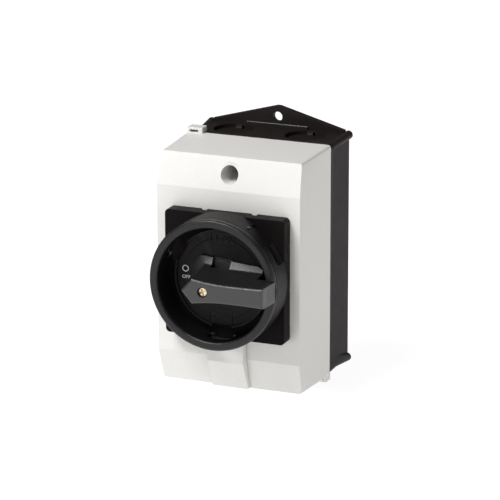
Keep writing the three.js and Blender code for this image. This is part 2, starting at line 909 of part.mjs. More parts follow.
const tieScrewHoles = () =>
  join(
    rod(screwSizes.tie.shank + gap, 0, coverFrontZ, -tieScrewOffset, tieScrewOffset, 14),
    rod(screwSizes.tie.shank + gap, 0, coverFrontZ, tieScrewOffset, -tieScrewOffset, 14),
  );

function endPlate() {
  const top = endPlateZ + endPlateThickness;
  const ears = box(-earHalf, earHalf, -earReach, earReach, endPlateZ, top);
  let body = join(blockPlate(endPlateZ, top), ears);
  for (const y of [earScrewY, -earScrewY]) body = cut(body, rod(earScrewHole, 0, top + past, 0, y, 16));
  body = cut(body, rod(shaftHoleRadius, endPlateZ + gap / 2, top + past, 0, 0, 24), tieScrewHoles());
  return onAxis(body);
}

function footScrew(side) {
  const seat = endPlateZ + endPlateThickness + gap;
  return onAxis(screw(screwSizes.foot, baseFloor, seat, 0, side * earScrewY));
}

// the plunger's tip rests on the cam; the bridge rides on its outer end
const plungerX = camRadius + gap;
const bridgeX = plungerX + plungerLength + gap;
const springX = bridgeX + bridgeThickness + gap;
const contactZ = (chamber) => chamberZ[chamber] + chamberDepth / 2;
const fixedX = bridgeX - contactTravel - gap;

// the rooms for one pole's plunger, bridge, contact strips and screwdriver
function contactPockets(chamber, side) {
  const z = contactZ(chamber);
  const front = chamberZ[chamber] + chamberDepth + past;
  const bottom = chamberZ[chamber] + chamberFloor;
  const slideHalf = plungerHalf + gap;
  const bridgeRoom = bridgeHalf + gap;
  const stripRear = fixedX - 2 * contactStripThickness - 2 * gap;
  const stripStart = bridgeHalf - contactStripLap - 2 * gap;
  const tools = [
    box(camRadius - camRoom, blockHalf - pocketWall, -slideHalf, slideHalf, bottom, front),
    box(fixedX - past, springX + gap, -bridgeRoom, bridgeRoom, bottom + 1, front),
  ];
  for (const s of [-1, 1]) {
    const [y0, y1] = s > 0 ? [stripStart, blockHalf + past] : [-blockHalf - past, -stripStart];
    tools.push(
      box(stripRear, fixedX + pocketRoom, y0, y1, z - pocketRoom - gap, front),
      crossRod(terminalHeadRadius + gap, fixedX, blockHalf + past, s * terminalY, z),
    );
  }
  const rooms = join(...tools);
  return side > 0 ? rooms : rooms.mirror([1, 0, 0]);
}

function contactChamber(chamber, sides) {
  const low = chamberZ[chamber];
  const high = low + chamberDepth;
  const body = cut(
    blockPlate(low, high),
    rod(camRadius + camRoom, low + chamberFloor, high + past, 0, 0, 40),
    rod(shaftHoleRadius, low - past, high, 0, 0, 24),
    tieScrewHoles(),
    ...sides.map((side) => contactPockets(chamber, side)),
  );
  return onAxis(body);
}

// the cam's radius falls by the contact travel over the handle's turn, on both sides
function cam(chamber) {
  const points = [];
  const steps = 9;
  for (let lobe = 0; lobe < 2; lobe++) {
    for (let i = 0; i < 2 * steps; i++) {
      const along = i < steps ? i / steps : 2 - i / steps;
      const a = (180 * lobe + (handleTurn * i) / steps) * degree;
      const r = camRadius - contactTravel * along;
      points.push([r * Math.cos(a), r * Math.sin(a)]);
    }
  }
  const z = contactZ(chamber);
  const body = prism(outline(points), z - camDepth / 2, z + camDepth / 2);
  const s = socketSide / 2;
  return onAxis(cut(body, box(-s, s, -s, s, 0, coverFrontZ)));
}

// pieces of one pole are drawn on the right-hand side, then mirrored to the left if need be
const toSide = (body, side) => onAxis(side > 0 ? body : body.mirror([1, 0, 0]));

function plunger(chamber, side) {
  const z = contactZ(chamber);
  const end = plungerX + plungerLength;
  const shape = outline([
    [plungerX, -plungerTipHalf],
    [plungerX + plungerTipLength, -plungerHalf],
    [end, -plungerHalf],
    [end, plungerHalf],
    [plungerX + plungerTipLength, plungerHalf],
    [plungerX, plungerTipHalf],
  ]);
  return toSide(prism(shape, z - plungerDepth / 2, z + plungerDepth / 2), side);
}

function bridge(chamber, side) {
  const z = contactZ(chamber);
  const { radius, inset, rear, front } = contactButton;
  const [zLow, zHigh] = [z - bridgeDepth / 2, z + bridgeDepth / 2];
  let body = box(bridgeX, bridgeX + bridgeThickness, -bridgeHalf, bridgeHalf, zLow, zHigh);
  for (const y of [-bridgeHalf + inset, bridgeHalf - inset]) {
    body = join(body, crossRod(radius, bridgeX - rear, bridgeX + front, y, z, 14));
  }
  return toSide(body, side);
}

function contactSpring(chamber, side) {
  const z = contactZ(chamber);
  const length = blockHalf - pocketWall - gap - springX;
  const body = coil(contactSpringRadius, springWire, length, springTurns).rotate([0, 90, 0]);
  return toSide(body.translate([springX, 0, z]), side);
}

function fixedContact(chamber, side, end) {
  const z = contactZ(chamber);
  const [inner, outer] = [bridgeHalf - contactStripLap, blockHalf - contactStripEnd];
  const [y0, y1] = end > 0 ? [inner, outer] : [-outer, -inner];
  const front = fixedX - gap;
  const [zLow, zHigh] = [z - contactStripDepth / 2, z + contactStripDepth / 2];
  const strip = box(front - contactStripThickness, front, y0, y1, zLow, zHigh);
  const rear = front - contactStripThickness - past;
  const hole = crossRod(terminalScrewRadius + gap, rear, front + past, end * terminalY, z, 14);
  return toSide(cut(strip, hole), side);
}

function terminalScrew(chamber, side, end) {
  const z = contactZ(chamber);
  const y = end * terminalY;
  const top = fixedX + terminalHeadHeight;
  const body = join(
    crossRod(terminalHeadRadius, fixedX, top, y, z, 14),
    crossRod(terminalScrewRadius, fixedX - terminalScrewLength, fixedX + bite, y, z, 8),
  );
  const { half: slotHalf, depth } = terminalSlot;
  const [y0, y1] = [y - terminalHeadRadius - past, y + terminalHeadRadius + past];
  const slot = box(top - depth, top + past, y0, y1, z - slotHalf, z + slotHalf);
  return toSide(cut(body, slot), side);
}

// ---------------------------------------------------------------- latch unit

const wheelZ = [latchZ + wheelBottom, latchZ + wheelBottom + wheelThickness];
const rollerY = wheelRadius + gap + latchRollerRadius;
const latchRoofZ = latchTopZ - latchRoof;

function latchHousing() {
  const floorZ = latchZ + latchFloor;
  const pocket = blockHalf - latchPocketWall;
  const open = blockHalf + past;
  const body = cut(
    blockPlate(latchZ, latchTopZ),
    rod(wheelRadius + wheelRoom, floorZ, latchRoofZ, 0, 0, 40),
    rod(shaftHoleRadius, latchZ - past, latchTopZ + past, 0, 0, 24),
    box(-latchPocketHalf, latchPocketHalf, -pocket, pocket, floorZ, wheelZ[1] + gap),
    box(-latchSlotHalf, latchSlotHalf, -open, open, floorZ + latchSlotHalf, wheelZ[1] - bite),
    tieScrewHoles(),
    stopArmRoom(),
  );
  return onAxis(body);
}

// the quarter in which the stop arm travels, from nine o'clock to twelve
function stopArmRoom() {
  const reach = wheelRadius + stopArmReach + stopArmClear;
  const edge = stopArmHalf + gap;
  const sector = box(-reach - past, edge, -edge, reach + past, wheelZ[1], latchRoofZ);
  return sector.intersect(rod(reach, 0, coverFrontZ, 0, 0, 48));
}

function latchWheel() {
  const points = [];
  const steps = 6 * wheelNotches;
  for (let i = 0; i < steps; i++) {
    const a = (i / steps) * 2 * Math.PI;
    const wave = (1 - Math.cos(wheelNotches * (a - Math.PI / 2))) / 2;
    const r = wheelRadius - wheelNotchDepth * wave;
    points.push([r * Math.cos(a), r * Math.sin(a)]);
  }
  const top = latchRoofZ - gap;
  const collarWallRadius = socketSide / Math.SQRT2 + wheelCollarWall;
  const star = prism(outline(points), wheelZ[0], wheelZ[1]);
  const [armTip, armRoot] = [-wheelRadius - stopArmReach, -socketSide / 2 - bite];
  const arm = box(armTip, armRoot, -stopArmHalf, stopArmHalf, wheelZ[1] + gap, top);
  const collar = rod(collarWallRadius, wheelZ[1] - bite, top, 0, 0, 24);
  const s = socketSide / 2;
  return onAxis(cut(join(star, arm, collar), box(-s, s, -s, s, 0, coverFrontZ)));
}

const latchRoller = (end) =>
  onAxis(rod(latchRollerRadius, wheelZ[0], wheelZ[1] - gap, 0, end * rollerY, 20));

function latchSpring(end) {
  const start = rollerY + latchRollerRadius + gap;
  const length = blockHalf - latchPocketWall - gap - start;
  const body = coil(latchSpringRadius, springWire, length, springTurns).rotate([-90, 0, 0]);
  const z = (wheelZ[0] + wheelZ[1]) / 2;
  const placed = body.translate([0, start, z]);
  return onAxis(end > 0 ? placed : placed.rotate([0, 0, 180]));
}

function tieScrew(side) {
  const [x, y] = [side * tieScrewOffset, -side * tieScrewOffset];
  return onAxis(screw(screwSizes.tie, endPlateZ + gap, latchTopZ + gap, x, y));
}

// ---------------------------------------------------------------- finishes

const finish = (color, roughness, metalness) => ({ color, roughness, metalness });
const finishes = {
  blackPlastic: finish("#2b2829", 0.45, 0),
  greyPlastic: finish("#e6e5e0", 0.4, 0),
  innerPlastic: finish("#3c3f41", 0.6, 0),
  rubber: finish("#1d1d1d", 0.9, 0),
  plungerPlastic: finish("#d8d2bf", 0.5, 0),
  zincSteel: finish("#b9b6ab", 0.35, 1),
  springSteel: finish("#a5a7a8", 0.3, 1),
  copper: finish("#b8764a", 0.35, 1),
  brass: finish("#c2a15c", 0.35, 1),
};

// ---------------------------------------------------------------- assembly

const assembly = new THREE.Group();

// puts one solid into the assembly as a named mesh with its own material
function place(name, body, finishName) {
  const mesh = body.getMesh();
  const geometry = new THREE.BufferGeometry();
  const positions = new Float32Array(mesh.numVert * 3);
  for (let i = 0; i < mesh.numVert; i++) {
    const start = i * mesh.numProp;
    positions.set(mesh.vertProperties.subarray(start, start + 3), i * 3);
  }
  geometry.setAttribute("position", new THREE.BufferAttribute(positions, 3));
  geometry.setIndex(new THREE.BufferAttribute(new Uint32Array(mesh.triVerts), 1));
  geometry.computeVertexNormals();
  const node = new THREE.Mesh(geometry, new THREE.MeshStandardMaterial(finishes[finishName]));
  node.name = name;
  assembly.add(node);
}

place("rear_base", rearBase(), "blackPlastic");
place("cover_seal", coverSeal(), "rubber");
place("front_cover", frontCover(), "greyPlastic");
place("cover_screw_top", coverScrew(1), "zincSteel");
place("cover_screw_bottom", coverScrew(-1), "zincSteel");
place("screw_cover_strip", screwCoverStrip(), "greyPlastic");

place("front_plate", frontPlate(), "blackPlastic");
place("plate_seal", plateSeal(), "rubber");
place("plate_screw_1", plateScrew(1, 1), "zincSteel");
place("plate_screw_2", plateScrew(-1, -1), "zincSteel");
place("shaft_bush", shaftBush(), "plungerPlastic");
place("legend_disc", legendDisc(), "blackPlastic");

place("thumb_grip", thumbGrip(), "blackPlastic");
place("locking_ring", lockingRing(), "blackPlastic");
place("handle_screw", handleScrew(), "brass");
place("drive_shaft", driveShaft(), "zincSteel");

place("end_plate", endPlate(), "innerPlastic");
place("foot_screw_top", footScrew(1), "zincSteel");
place("foot_screw_bottom", footScrew(-1), "zincSteel");
place("latch_housing", latchHousing(), "innerPlastic");
place("latch_wheel", latchWheel(), "plungerPlastic");
for (const [label, end] of [["top", 1], ["bottom", -1]]) {
  place("latch_roller_" + label, latchRoller(end), "zincSteel");
  place("latch_spring_" + label, latchSpring(end), "springSteel");
}
place("tie_screw_left", tieScrew(-1), "zincSteel");
place("tie_screw_right", tieScrew(1), "zincSteel");

// pole 1 and pole 2 share the rear chamber; pole 3 is alone in the front one
const poles = [
  { number: 1, chamber: 0, side: -1 },
  { number: 2, chamber: 0, side: 1 },
  { number: 3, chamber: 1, side: -1 },
];
for (const chamber of [0, 1]) {
  const sides = poles.filter((pole) => pole.chamber === chamber).map((pole) => pole.side);
  place("contact_chamber_" + (chamber + 1), contactChamber(chamber, sides), "innerPlastic");
  place("switch_cam_" + (chamber + 1), cam(chamber), "plungerPlastic");
}
for (const { number, chamber, side } of poles) {
  place("plunger_" + number, plunger(chamber, side), "plungerPlastic");
  place("contact_bridge_" + number, bridge(chamber, side), "copper");
  place("contact_spring_" + number, contactSpring(chamber, side), "springSteel");
  for (const [label, end] of [["line", 1], ["load", -1]]) {
    place("fixed_contact_" + number + "_" + label, fixedContact(chamber, side, end), "copper");
    place("terminal_screw_" + number + "_" + label, terminalScrew(chamber, side, end), "zincSteel");
  }
}
for (const [label, x] of [["earth", -barX], ["neutral", barX]]) {
  place(label + "_bar", terminalBar(x), "brass");
  place(label + "_screw_1", barScrew(x - barScrewSpacing / 2), "zincSteel");
  place(label + "_screw_2", barScrew(x + barScrewSpacing / 2), "zincSteel");
}

// stands the unit against the wall
assembly.rotation.x = Math.PI / 2;

export default assembly;
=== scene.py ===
"""A rotary isolator switch in a small wall-mounting enclosure, modelled round its fixed frame.

Every piece is drawn in millimetres as seen from the front: x to the right, y up, z out of the
wall. WALL then stands it against the wall, in metres.
"""

import math

import bmesh
import bpy
from mathutils import Matrix, Vector


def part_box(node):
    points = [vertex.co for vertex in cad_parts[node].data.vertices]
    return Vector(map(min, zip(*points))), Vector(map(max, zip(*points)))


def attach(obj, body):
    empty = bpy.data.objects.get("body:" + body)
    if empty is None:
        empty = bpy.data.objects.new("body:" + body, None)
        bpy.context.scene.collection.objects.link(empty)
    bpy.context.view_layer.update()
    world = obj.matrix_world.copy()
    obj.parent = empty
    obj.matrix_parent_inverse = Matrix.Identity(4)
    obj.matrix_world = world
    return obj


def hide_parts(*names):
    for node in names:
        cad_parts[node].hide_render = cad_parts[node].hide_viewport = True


bl_info = {
    "name": "Rotary Isolator Switch",
    "version": (1, 0, 0),
    "blender": (4, 5, 0),
    "location": "View3D > Sidebar > Isolator",
    "description": "Builds an enclosed rotary isolator switch round its packed frame",
    "category": "Object",
}

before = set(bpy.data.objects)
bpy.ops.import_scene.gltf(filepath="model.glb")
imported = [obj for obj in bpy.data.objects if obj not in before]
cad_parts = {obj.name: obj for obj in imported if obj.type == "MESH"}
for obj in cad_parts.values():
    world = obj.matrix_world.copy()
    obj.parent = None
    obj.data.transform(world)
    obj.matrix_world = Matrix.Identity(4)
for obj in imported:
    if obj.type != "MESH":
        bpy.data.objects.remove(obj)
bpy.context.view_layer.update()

MM = 0.001
WALL = Matrix.Rotation(math.radians(90), 4, "X") @ Matrix.Scale(MM, 4)
CLEAR = 0.3
PAST = 1.0
SPIGOT_LENGTH = 8.5
DISC_LIP = 1.1
COVER_END_INSET = 1.3


def drawn_box(node):
    """Lowest and highest corner of a CAD node, in the drawing's millimetres."""
    low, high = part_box(node)
    return (
        Vector((low.x, low.z, -high.y)) / MM,
        Vector((high.x, high.z, -low.y)) / MM,
    )


# ------------------------------------------------------------------ places taken from the frame

BASE = drawn_box("rear_base")
COVER = drawn_box("front_cover")
SEAL = drawn_box("cover_seal")
STRIP = drawn_box("screw_cover_strip")
PLATE = drawn_box("front_plate")
DISC = drawn_box("legend_disc")
RING = drawn_box("locking_ring")
GRIP = drawn_box("thumb_grip")
HANDLE_SCREW = drawn_box("handle_screw")

# the middle of the disc's box, which its slot at six o'clock puts 0.3 mm above the hinge
AXIS = (DISC[0] + DISC[1]) / 2
ON_AXIS = Matrix.Translation((AXIS.x, AXIS.y, 0))
DISC_RADIUS = (DISC[1].x - DISC[0].x) / 2
HALF_WIDTH = COVER[1].x
RIM_Z = SEAL[1].z + CLEAR
FRONT_Z = PLATE[0].z + SPIGOT_LENGTH - CLEAR
PLATE_BACK = FRONT_Z + CLEAR
PLATE_FACE = DISC[0].z - CLEAR
COLLAR_TOP = PLATE[1].z
COLLAR_RADIUS = AXIS.x - PLATE[0].x
RING_RADIUS = AXIS.x - RING[0].x
RING_BACK = COLLAR_TOP + CLEAR
RING_FRONT = RING[1].z
DISC_FACE = GRIP_FOOT = DISC[1].z - DISC_LIP
GRIP_FRONT = GRIP[1].z


# ------------------------------------------------------------------ sizes and colours to change


class EnclosureSizes(bpy.types.PropertyGroup):
    """Cover and base, in millimetres."""

    half_height: bpy.props.FloatProperty(
        name="Half height", description="From the middle to the cover's end", default=62.3
    )
    wall: bpy.props.FloatProperty(
        name="Wall", description="Thickness of the cover's wall", default=2.6, min=0.5
    )
    crease: bpy.props.FloatProperty(
        name="Crease", description="Height of the crease above the middle", default=44.2
    )
    end_drop: bpy.props.FloatProperty(
        name="End drop", description="How far the sloping band falls back", default=4.8
    )
    edge: bpy.props.FloatProperty(
        name="Edge", description="Width of the cover's rounded edges", default=0.9, min=0.05
    )
    well_y: bpy.props.FloatProperty(
        name="Screw well", description="Height of the screw wells", default=52.2
    )
    well_radius: bpy.props.FloatProperty(
        name="Well radius", description="Radius of the screw wells", default=4.75, min=1
    )
    base_edge: bpy.props.FloatProperty(
        name="Base edge", description="Width of the base's rounded edges", default=0.4, min=0.05
    )


class HandleSizes(bpy.types.PropertyGroup):
    """Plate, collar, ring and grip, in millimetres."""

    plate_side: bpy.props.FloatProperty(
        name="Plate side", description="Side of the square plate", default=65.6
    )
    plate_corner: bpy.props.FloatProperty(
        name="Plate corner", description="Corner radius of the plate", default=2.3
    )
    collar_wall: bpy.props.FloatProperty(
        name="Collar wall", description="Thickness of the collar", default=2.4
    )
    window_width: bpy.props.FloatProperty(
        name="Window width", description="Width of a padlock window", default=12.4
    )
    window_height: bpy.props.FloatProperty(
        name="Window height", description="Height of a padlock window", default=7.6
    )
    ring_wall: bpy.props.FloatProperty(
        name="Ring wall", description="Width of the ring's front face", default=4.1
    )
    grip_edge: bpy.props.FloatProperty(
        name="Grip edge", description="Width of the grip's rounded edge", default=1.4, min=0.05
    )
    foot_height: bpy.props.FloatProperty(
        name="Grip foot", description="Height of the grip's foot", default=1.6, min=0.2
    )


class FinishColours(bpy.types.PropertyGroup):
    """Colours of the finishes."""

    cover: bpy.props.FloatVectorProperty(
        name="Cover", description="Light grey cover", subtype="COLOR",
        default=(0.70, 0.69, 0.665), min=0, max=1,
    )
    base: bpy.props.FloatVectorProperty(
        name="Base", description="Black base", subtype="COLOR",
        default=(0.014, 0.011, 0.0105), min=0, max=1,
    )
    handle: bpy.props.FloatVectorProperty(
        name="Handle", description="Black grip, ring and collar", subtype="COLOR",
        default=(0.0045, 0.004, 0.0042), min=0, max=1,
    )
    plate: bpy.props.FloatVectorProperty(
        name="Plate", description="Black square plate", subtype="COLOR",
        default=(0.006, 0.005, 0.005), min=0, max=1,
    )
    printing: bpy.props.FloatVectorProperty(
        name="Printing", description="White legend", subtype="COLOR",
        default=(0.62, 0.65, 0.70), min=0, max=1,
    )


# ------------------------------------------------------------------ shader maths


class Field:
    """A socket of a shader tree, so that shader maths can be written as sums."""

    def __init__(self, tree, socket):
        self.tree = tree
        self.socket = socket

    def maths(self, operation, first, second):
        node = self.tree.nodes.new("ShaderNodeMath")
        node.operation = operation
        for place, value in zip(node.inputs, (first, second)):
            if isinstance(value, Field):
                self.tree.links.new(value.socket, place)
            else:
                place.default_value = value
        return Field(self.tree, node.outputs[0])

    def __add__(self, other):
        return self.maths("ADD", self, other)

    def __radd__(self, other):
        return self.maths("ADD", other, self)

    def __sub__(self, other):
        return self.maths("SUBTRACT", self, other)

    def __rsub__(self, other):
        return self.maths("SUBTRACT", other, self)

    def __mul__(self, other):
        return self.maths("MULTIPLY", self, other)

    def __rmul__(self, other):
        return self.maths("MULTIPLY", other, self)


class Finish:
    """A material while it is being made."""

    def __init__(self, name):
        self.material = bpy.data.materials.new(name)
        self.material.use_nodes = True
        self.tree = self.material.node_tree
        self.tree.nodes.clear()
        output = self.tree.nodes.new("ShaderNodeOutputMaterial")
        self.shader = self.tree.nodes.new("ShaderNodeBsdfPrincipled")
        self.tree.links.new(self.shader.outputs["BSDF"], output.inputs["Surface"])

    def put(self, place, value):
        if isinstance(value, Field):
            self.tree.links.new(value.socket, place)
        else:
            place.default_value = value

    def node(self, kind, settings=None, values=None, result=0):
        """A new node, with its settings made first and then the values or links of its sockets."""
        node = self.tree.nodes.new(kind)
        for name, setting in (settings or {}).items():
            setattr(node, name, setting)
        for name, value in (values or {}).items():
            self.put(node.inputs[name], value)
        return Field(self.tree, node.outputs[result])

    def set(self, **values):
        for name, value in values.items():
            self.put(self.shader.inputs[name.replace("_", " ")], value)

    def noise(self, size_mm, detail=2.0, stretch=(1, 1, 1)):
        """Noise whose grains have the given size."""
        place = self.node("ShaderNodeTexCoord", result=3)
        place = self.node(
            "ShaderNodeMapping", values={"Vector": place, "Scale": tuple(s / MM for s in stretch)}
        )
        return self.node(
            "ShaderNodeTexNoise", values={"Vector": place, "Scale": 1 / size_mm, "Detail": detail}
        )

    def step(self, value, low, high, to_low=0.0, to_high=1.0):
        """A value moved smoothly from one range to another."""
        return self.node(
            "ShaderNodeMapRange",
            {"interpolation_type": "SMOOTHSTEP"},
            {
                "Value": value,
                "From Min": low,
                "From Max": high,
                "To Min": to_low,
                "To Max": to_high,
            },
        )

    def mix(self, factor, first, second):
        """Two colours mixed by a factor."""
        node = self.tree.nodes.new("ShaderNodeMix")
        node.data_type = "RGBA"
        self.put(node.inputs["Factor"], factor)
        self.put(node.inputs[6], first)
        self.put(node.inputs[7], second)
        return Field(self.tree, node.outputs[2])

    def bump(self, height, depth_mm, strength=1.0):
        normal = self.node(
            "ShaderNodeBump",
            values={"Height": height, "Distance": depth_mm * MM, "Strength": strength},
        )
        self.set(Normal=normal)


def shade(colour, amount):
    """The colour made lighter or darker."""
    return (*(min(c * amount, 1) for c in colour), 1)


def moulded_plastic(
    name, colour, roughness, grain_mm, grain_depth, gloss=0.5, rubbed=1.5, clouding=0.06
):
    """Moulded plastic: a fine spark-eroded grain, faint clouding, and edges rubbed lighter."""
    finish = Finish(name)
    grain = finish.noise(grain_mm, 3.0)
    cloud = finish.noise(7.0, 3.0)
    scuff = finish.noise(1.6, 4.0, (1, 1, 0.35))
    edge = finish.step(
        finish.node("ShaderNodeNewGeometry", result=7) + 0.03 * scuff, 0.53, 0.60
    )
    tone = finish.mix(
        finish.step(cloud, 0.3, 0.7), shade(colour, 1 - clouding), shade(colour, 1 + clouding)
    )
    speck = finish.mix(
        0.35 * finish.step(grain, 0.45, 0.75), tone, shade(colour, 1.0 + 0.35 * rubbed)
    )
    colour_out = finish.mix(0.5 * edge, speck, shade(colour, rubbed))
    finish.set(
        Base_Color=colour_out,
        Roughness=roughness + 0.12 * (cloud - 0.5) + 0.10 * (grain - 0.5) - 0.08 * edge,
        Specular_IOR_Level=gloss,
    )
    finish.bump(grain + 0.4 * scuff, grain_depth)
    return finish.material


def plated_steel(name, colour, roughness=0.32):
    """Zinc-plated or brass-plated steel with turning marks and a faint bloom."""
    finish = Finish(name)
    lines = finish.noise(0.12, 2.0)
    bloom = finish.noise(2.5, 4.0)
    finish.set(
        Base_Color=finish.mix(finish.step(bloom, 0.35, 0.7), shade(colour, 1.0), shade(colour, 0.8)),
        Metallic=1.0,
        Roughness=roughness + 0.25 * (bloom - 0.5) + 0.15 * (lines - 0.5),
    )
    finish.bump(lines, 0.02)
    return finish.material


def soft_rubber(name):
    """Matt black rubber."""
    finish = Finish(name)
    dust = finish.noise(0.5, 5.0)
    finish.set(
        Base_Color=finish.mix(
            finish.step(dust, 0.4, 0.7), (0.012, 0.012, 0.012, 1), (0.022, 0.021, 0.02, 1)
        ),
        Roughness=0.85 + 0.1 * (dust - 0.5),
    )
    finish.bump(dust, 0.05)
    return finish.material


def printed_ink(name, colour):
    """A pad-printed legend, a little uneven."""
    finish = Finish(name)
    wear = finish.noise(0.35, 3.0)
    finish.set(
        Base_Color=finish.mix(finish.step(wear, 0.35, 0.6), shade(colour, 0.75), shade(colour, 1.0)),
        Roughness=0.55 + 0.2 * (wear - 0.5),
    )
    finish.bump(wear, 0.02)
    return finish.material


FINISHES = {}


def finish_named(name):
    """The finish of that name, made when it is first asked for."""
    if name not in FINISHES:
        colours = bpy.context.scene.isolator_colours
        makers = {
            "cover_grey": lambda: moulded_plastic(
                "cover_grey", colours.cover, 0.42, 0.30, 0.006, 0.4, 1.02, 0.008
            ),
            "base_black": lambda: moulded_plastic(
                "base_black", colours.base, 0.50, 0.35, 0.03, 0.06, 1.8
            ),
            "handle_black": lambda: moulded_plastic(
                "handle_black", colours.handle, 0.46, 0.80, 0.22, 0.9, 3.0
            ),
            "plate_black": lambda: moulded_plastic(
                "plate_black", colours.plate, 0.36, 0.35, 0.02, 0.03, 1.8
            ),
            "ring_black": lambda: moulded_plastic(
                "ring_black", colours.handle, 0.40, 0.80, 0.16, 0.40, 3.0
            ),
            "disc_black": lambda: moulded_plastic(
                "disc_black", colours.handle, 0.50, 0.65, 0.12, 0.18, 3.0
            ),
            "collar_black": lambda: moulded_plastic(
                "collar_black", colours.handle, 0.5, 0.60, 0.10, 0.12, 2.0
            ),
            "cam_cream": lambda: moulded_plastic(
                "cam_cream", (0.68, 0.62, 0.48), 0.4, 0.3, 0.01, rubbed=1.05
            ),
            "block_grey": lambda: moulded_plastic(
                "block_grey", (0.045, 0.05, 0.055), 0.5, 0.3, 0.02, rubbed=1.4
            ),
            "seal_rubber": lambda: soft_rubber("seal_rubber"),
            "white_print": lambda: printed_ink("white_print", colours.printing),
            "screw_brass": lambda: plated_steel("screw_brass", (0.80, 0.66, 0.46), 0.28),
            "zinc_steel": lambda: plated_steel("zinc_steel", (0.62, 0.62, 0.60)),
            "spring_steel": lambda: plated_steel("spring_steel", (0.50, 0.50, 0.51), 0.26),
            "contact_copper": lambda: plated_steel("contact_copper", (0.72, 0.36, 0.22), 0.3),
            "bar_brass": lambda: plated_steel("bar_brass", (0.72, 0.53, 0.25), 0.33),
        }
        FINISHES[name] = makers[name]()
    return FINISHES[name]


# ------------------------------------------------------------------ modelling helpers


def move(bm, offset=(0, 0, 0), turn=0.0, verts=None):
    """Turns about z by degrees, then moves."""
    matrix = Matrix.Translation(offset) @ Matrix.Rotation(math.radians(turn), 4, "Z")
    bmesh.ops.transform(bm, matrix=matrix, verts=verts or bm.verts)
    return bm


def block(low, high):
    """A square-edged block between two corners."""
    bm = bmesh.new()
    bmesh.ops.create_cube(bm, size=1)
    low, high = Vector(low), Vector(high)
    size = high - low
    bmesh.ops.scale(bm, vec=size, verts=bm.verts)
    return move(bm, (low + high) / 2)


def bar(radius, low, high, sides=48, top_radius=None):
    """A round bar along z."""
    bm = bmesh.new()
    bmesh.ops.create_cone(
        bm,
        cap_ends=True,
        segments=sides,
        radius1=radius,
        radius2=radius if top_radius is None else top_radius,
        depth=high - low,
    )
    return move(bm, (0, 0, (low + high) / 2))


def turned(profile, steps=144):
    """A closed profile of (radius, z) points turned all the way round z."""
    bm = bmesh.new()
    verts = [bm.verts.new((r, 0, z)) for r, z in profile]
    edges = [bm.edges.new((a, b)) for a, b in zip(verts, verts[1:] + verts[:1])]
    bmesh.ops.spin(
        bm,
        geom=verts + edges,
        cent=(0, 0, 0),
        axis=(0, 0, 1),
        dvec=(0, 0, 0),
        angle=2 * math.pi,
        steps=steps,
        use_merge=True,
    )
    bmesh.ops.recalc_face_normals(bm, faces=bm.faces)
    return bm


def pushed(points, low, high, axes="xyz"):
    """A flat outline pushed from one height to another along the third of the named axes."""
    bm = bmesh.new()
    order = ["xyz".index(a) for a in axes]

    def placed(u, v, w):
        spot = [0, 0, 0]
        for axis, value in zip(order, (u, v, w)):
            spot[axis] = value
        return spot

    face = bm.faces.new([bm.verts.new(placed(u, v, low)) for u, v in points])
    moved = bmesh.ops.extrude_face_region(bm, geom=[face])["geom"]
    step = Vector(placed(0, 0, high - low))
    bmesh.ops.translate(bm, vec=step, verts=[v for v in moved if isinstance(v, bmesh.types.BMVert)])
    bmesh.ops.recalc_face_normals(bm, faces=bm.faces)
    return bm


def circle(radius, sides):
    """Points of a circle round the origin."""
    turns = [2 * math.pi * i / sides for i in range(sides)]
    return [(radius * math.cos(t), radius * math.sin(t)) for t in turns]


def wrapped(points):
    """The smallest convex body round the points."""
    bm = bmesh.new()
    verts = [bm.verts.new(p) for p in points]
    bmesh.ops.convex_hull(bm, input=verts)
    loose = [v for v in bm.verts if not v.link_faces]
    bmesh.ops.delete(bm, geom=loose, context="VERTS")
    flatten(bm, 0.5)
    return bm


def flatten(bm, degrees):
    """Joins faces that lie in one plane."""
    bmesh.ops.dissolve_limit(
        bm, angle_limit=math.radians(degrees), verts=bm.verts, edges=bm.edges
    )


def soften(bm, width, segments=2, least=30.0, where=None):
    """Rounds the edges sharper than a number of degrees."""
    chosen = []
    for edge in bm.edges:
        if len(edge.link_faces) != 2 or edge.calc_face_angle(0) < math.radians(least):
            continue
        if where is None or where((edge.verts[0].co + edge.verts[1].co) / 2, edge):
            chosen.append(edge)
    bmesh.ops.bevel(
        bm,
        geom=chosen,
        offset=width,
        segments=segments,
        profile=0.5,
        affect="EDGES",
        clamp_overlap=True,
        material=-1,
    )
    return bm


def is_upright(_, edge):
    """Whether an edge runs along z."""
    run = edge.verts[0].co - edge.verts[1].co
    return abs(run.z) > 0.99 * run.length


def loose_object(bm, name):
    """A new object that holds the mesh."""
    mesh = bpy.data.meshes.new(name)
    bm.to_mesh(mesh)
    bm.free()
    body = bpy.data.objects.new(name, mesh)
    bpy.context.scene.collection.objects.link(body)
    return body


def combined(bm, tools, operation):
    """The body joined to the tools, or cut by them."""
    body = loose_object(bm, "body")
    cutters = [loose_object(tool, "tool") for tool in tools]
    for cutter in cutters:
        step = body.modifiers.new("step", "BOOLEAN")
        step.operation = operation
        step.solver = "EXACT"
        step.object = cutter
    graph = bpy.context.evaluated_depsgraph_get()
    result = bmesh.new()
    result.from_mesh(body.evaluated_get(graph).to_mesh())
    for used in [body, *cutters]:
        mesh = used.data
        bpy.data.objects.remove(used)
        bpy.data.meshes.remove(mesh)
    bmesh.ops.remove_doubles(result, verts=result.verts, dist=0.002)
    return result


def cut(bm, *tools):
    return combined(bm, tools, "DIFFERENCE")


def join(bm, *tools):
    return combined(bm, tools, "UNION")


def at_clock(bm, clock):
    """Turned to a clock angle, in degrees from twelve."""
    return move(bm, turn=-clock)


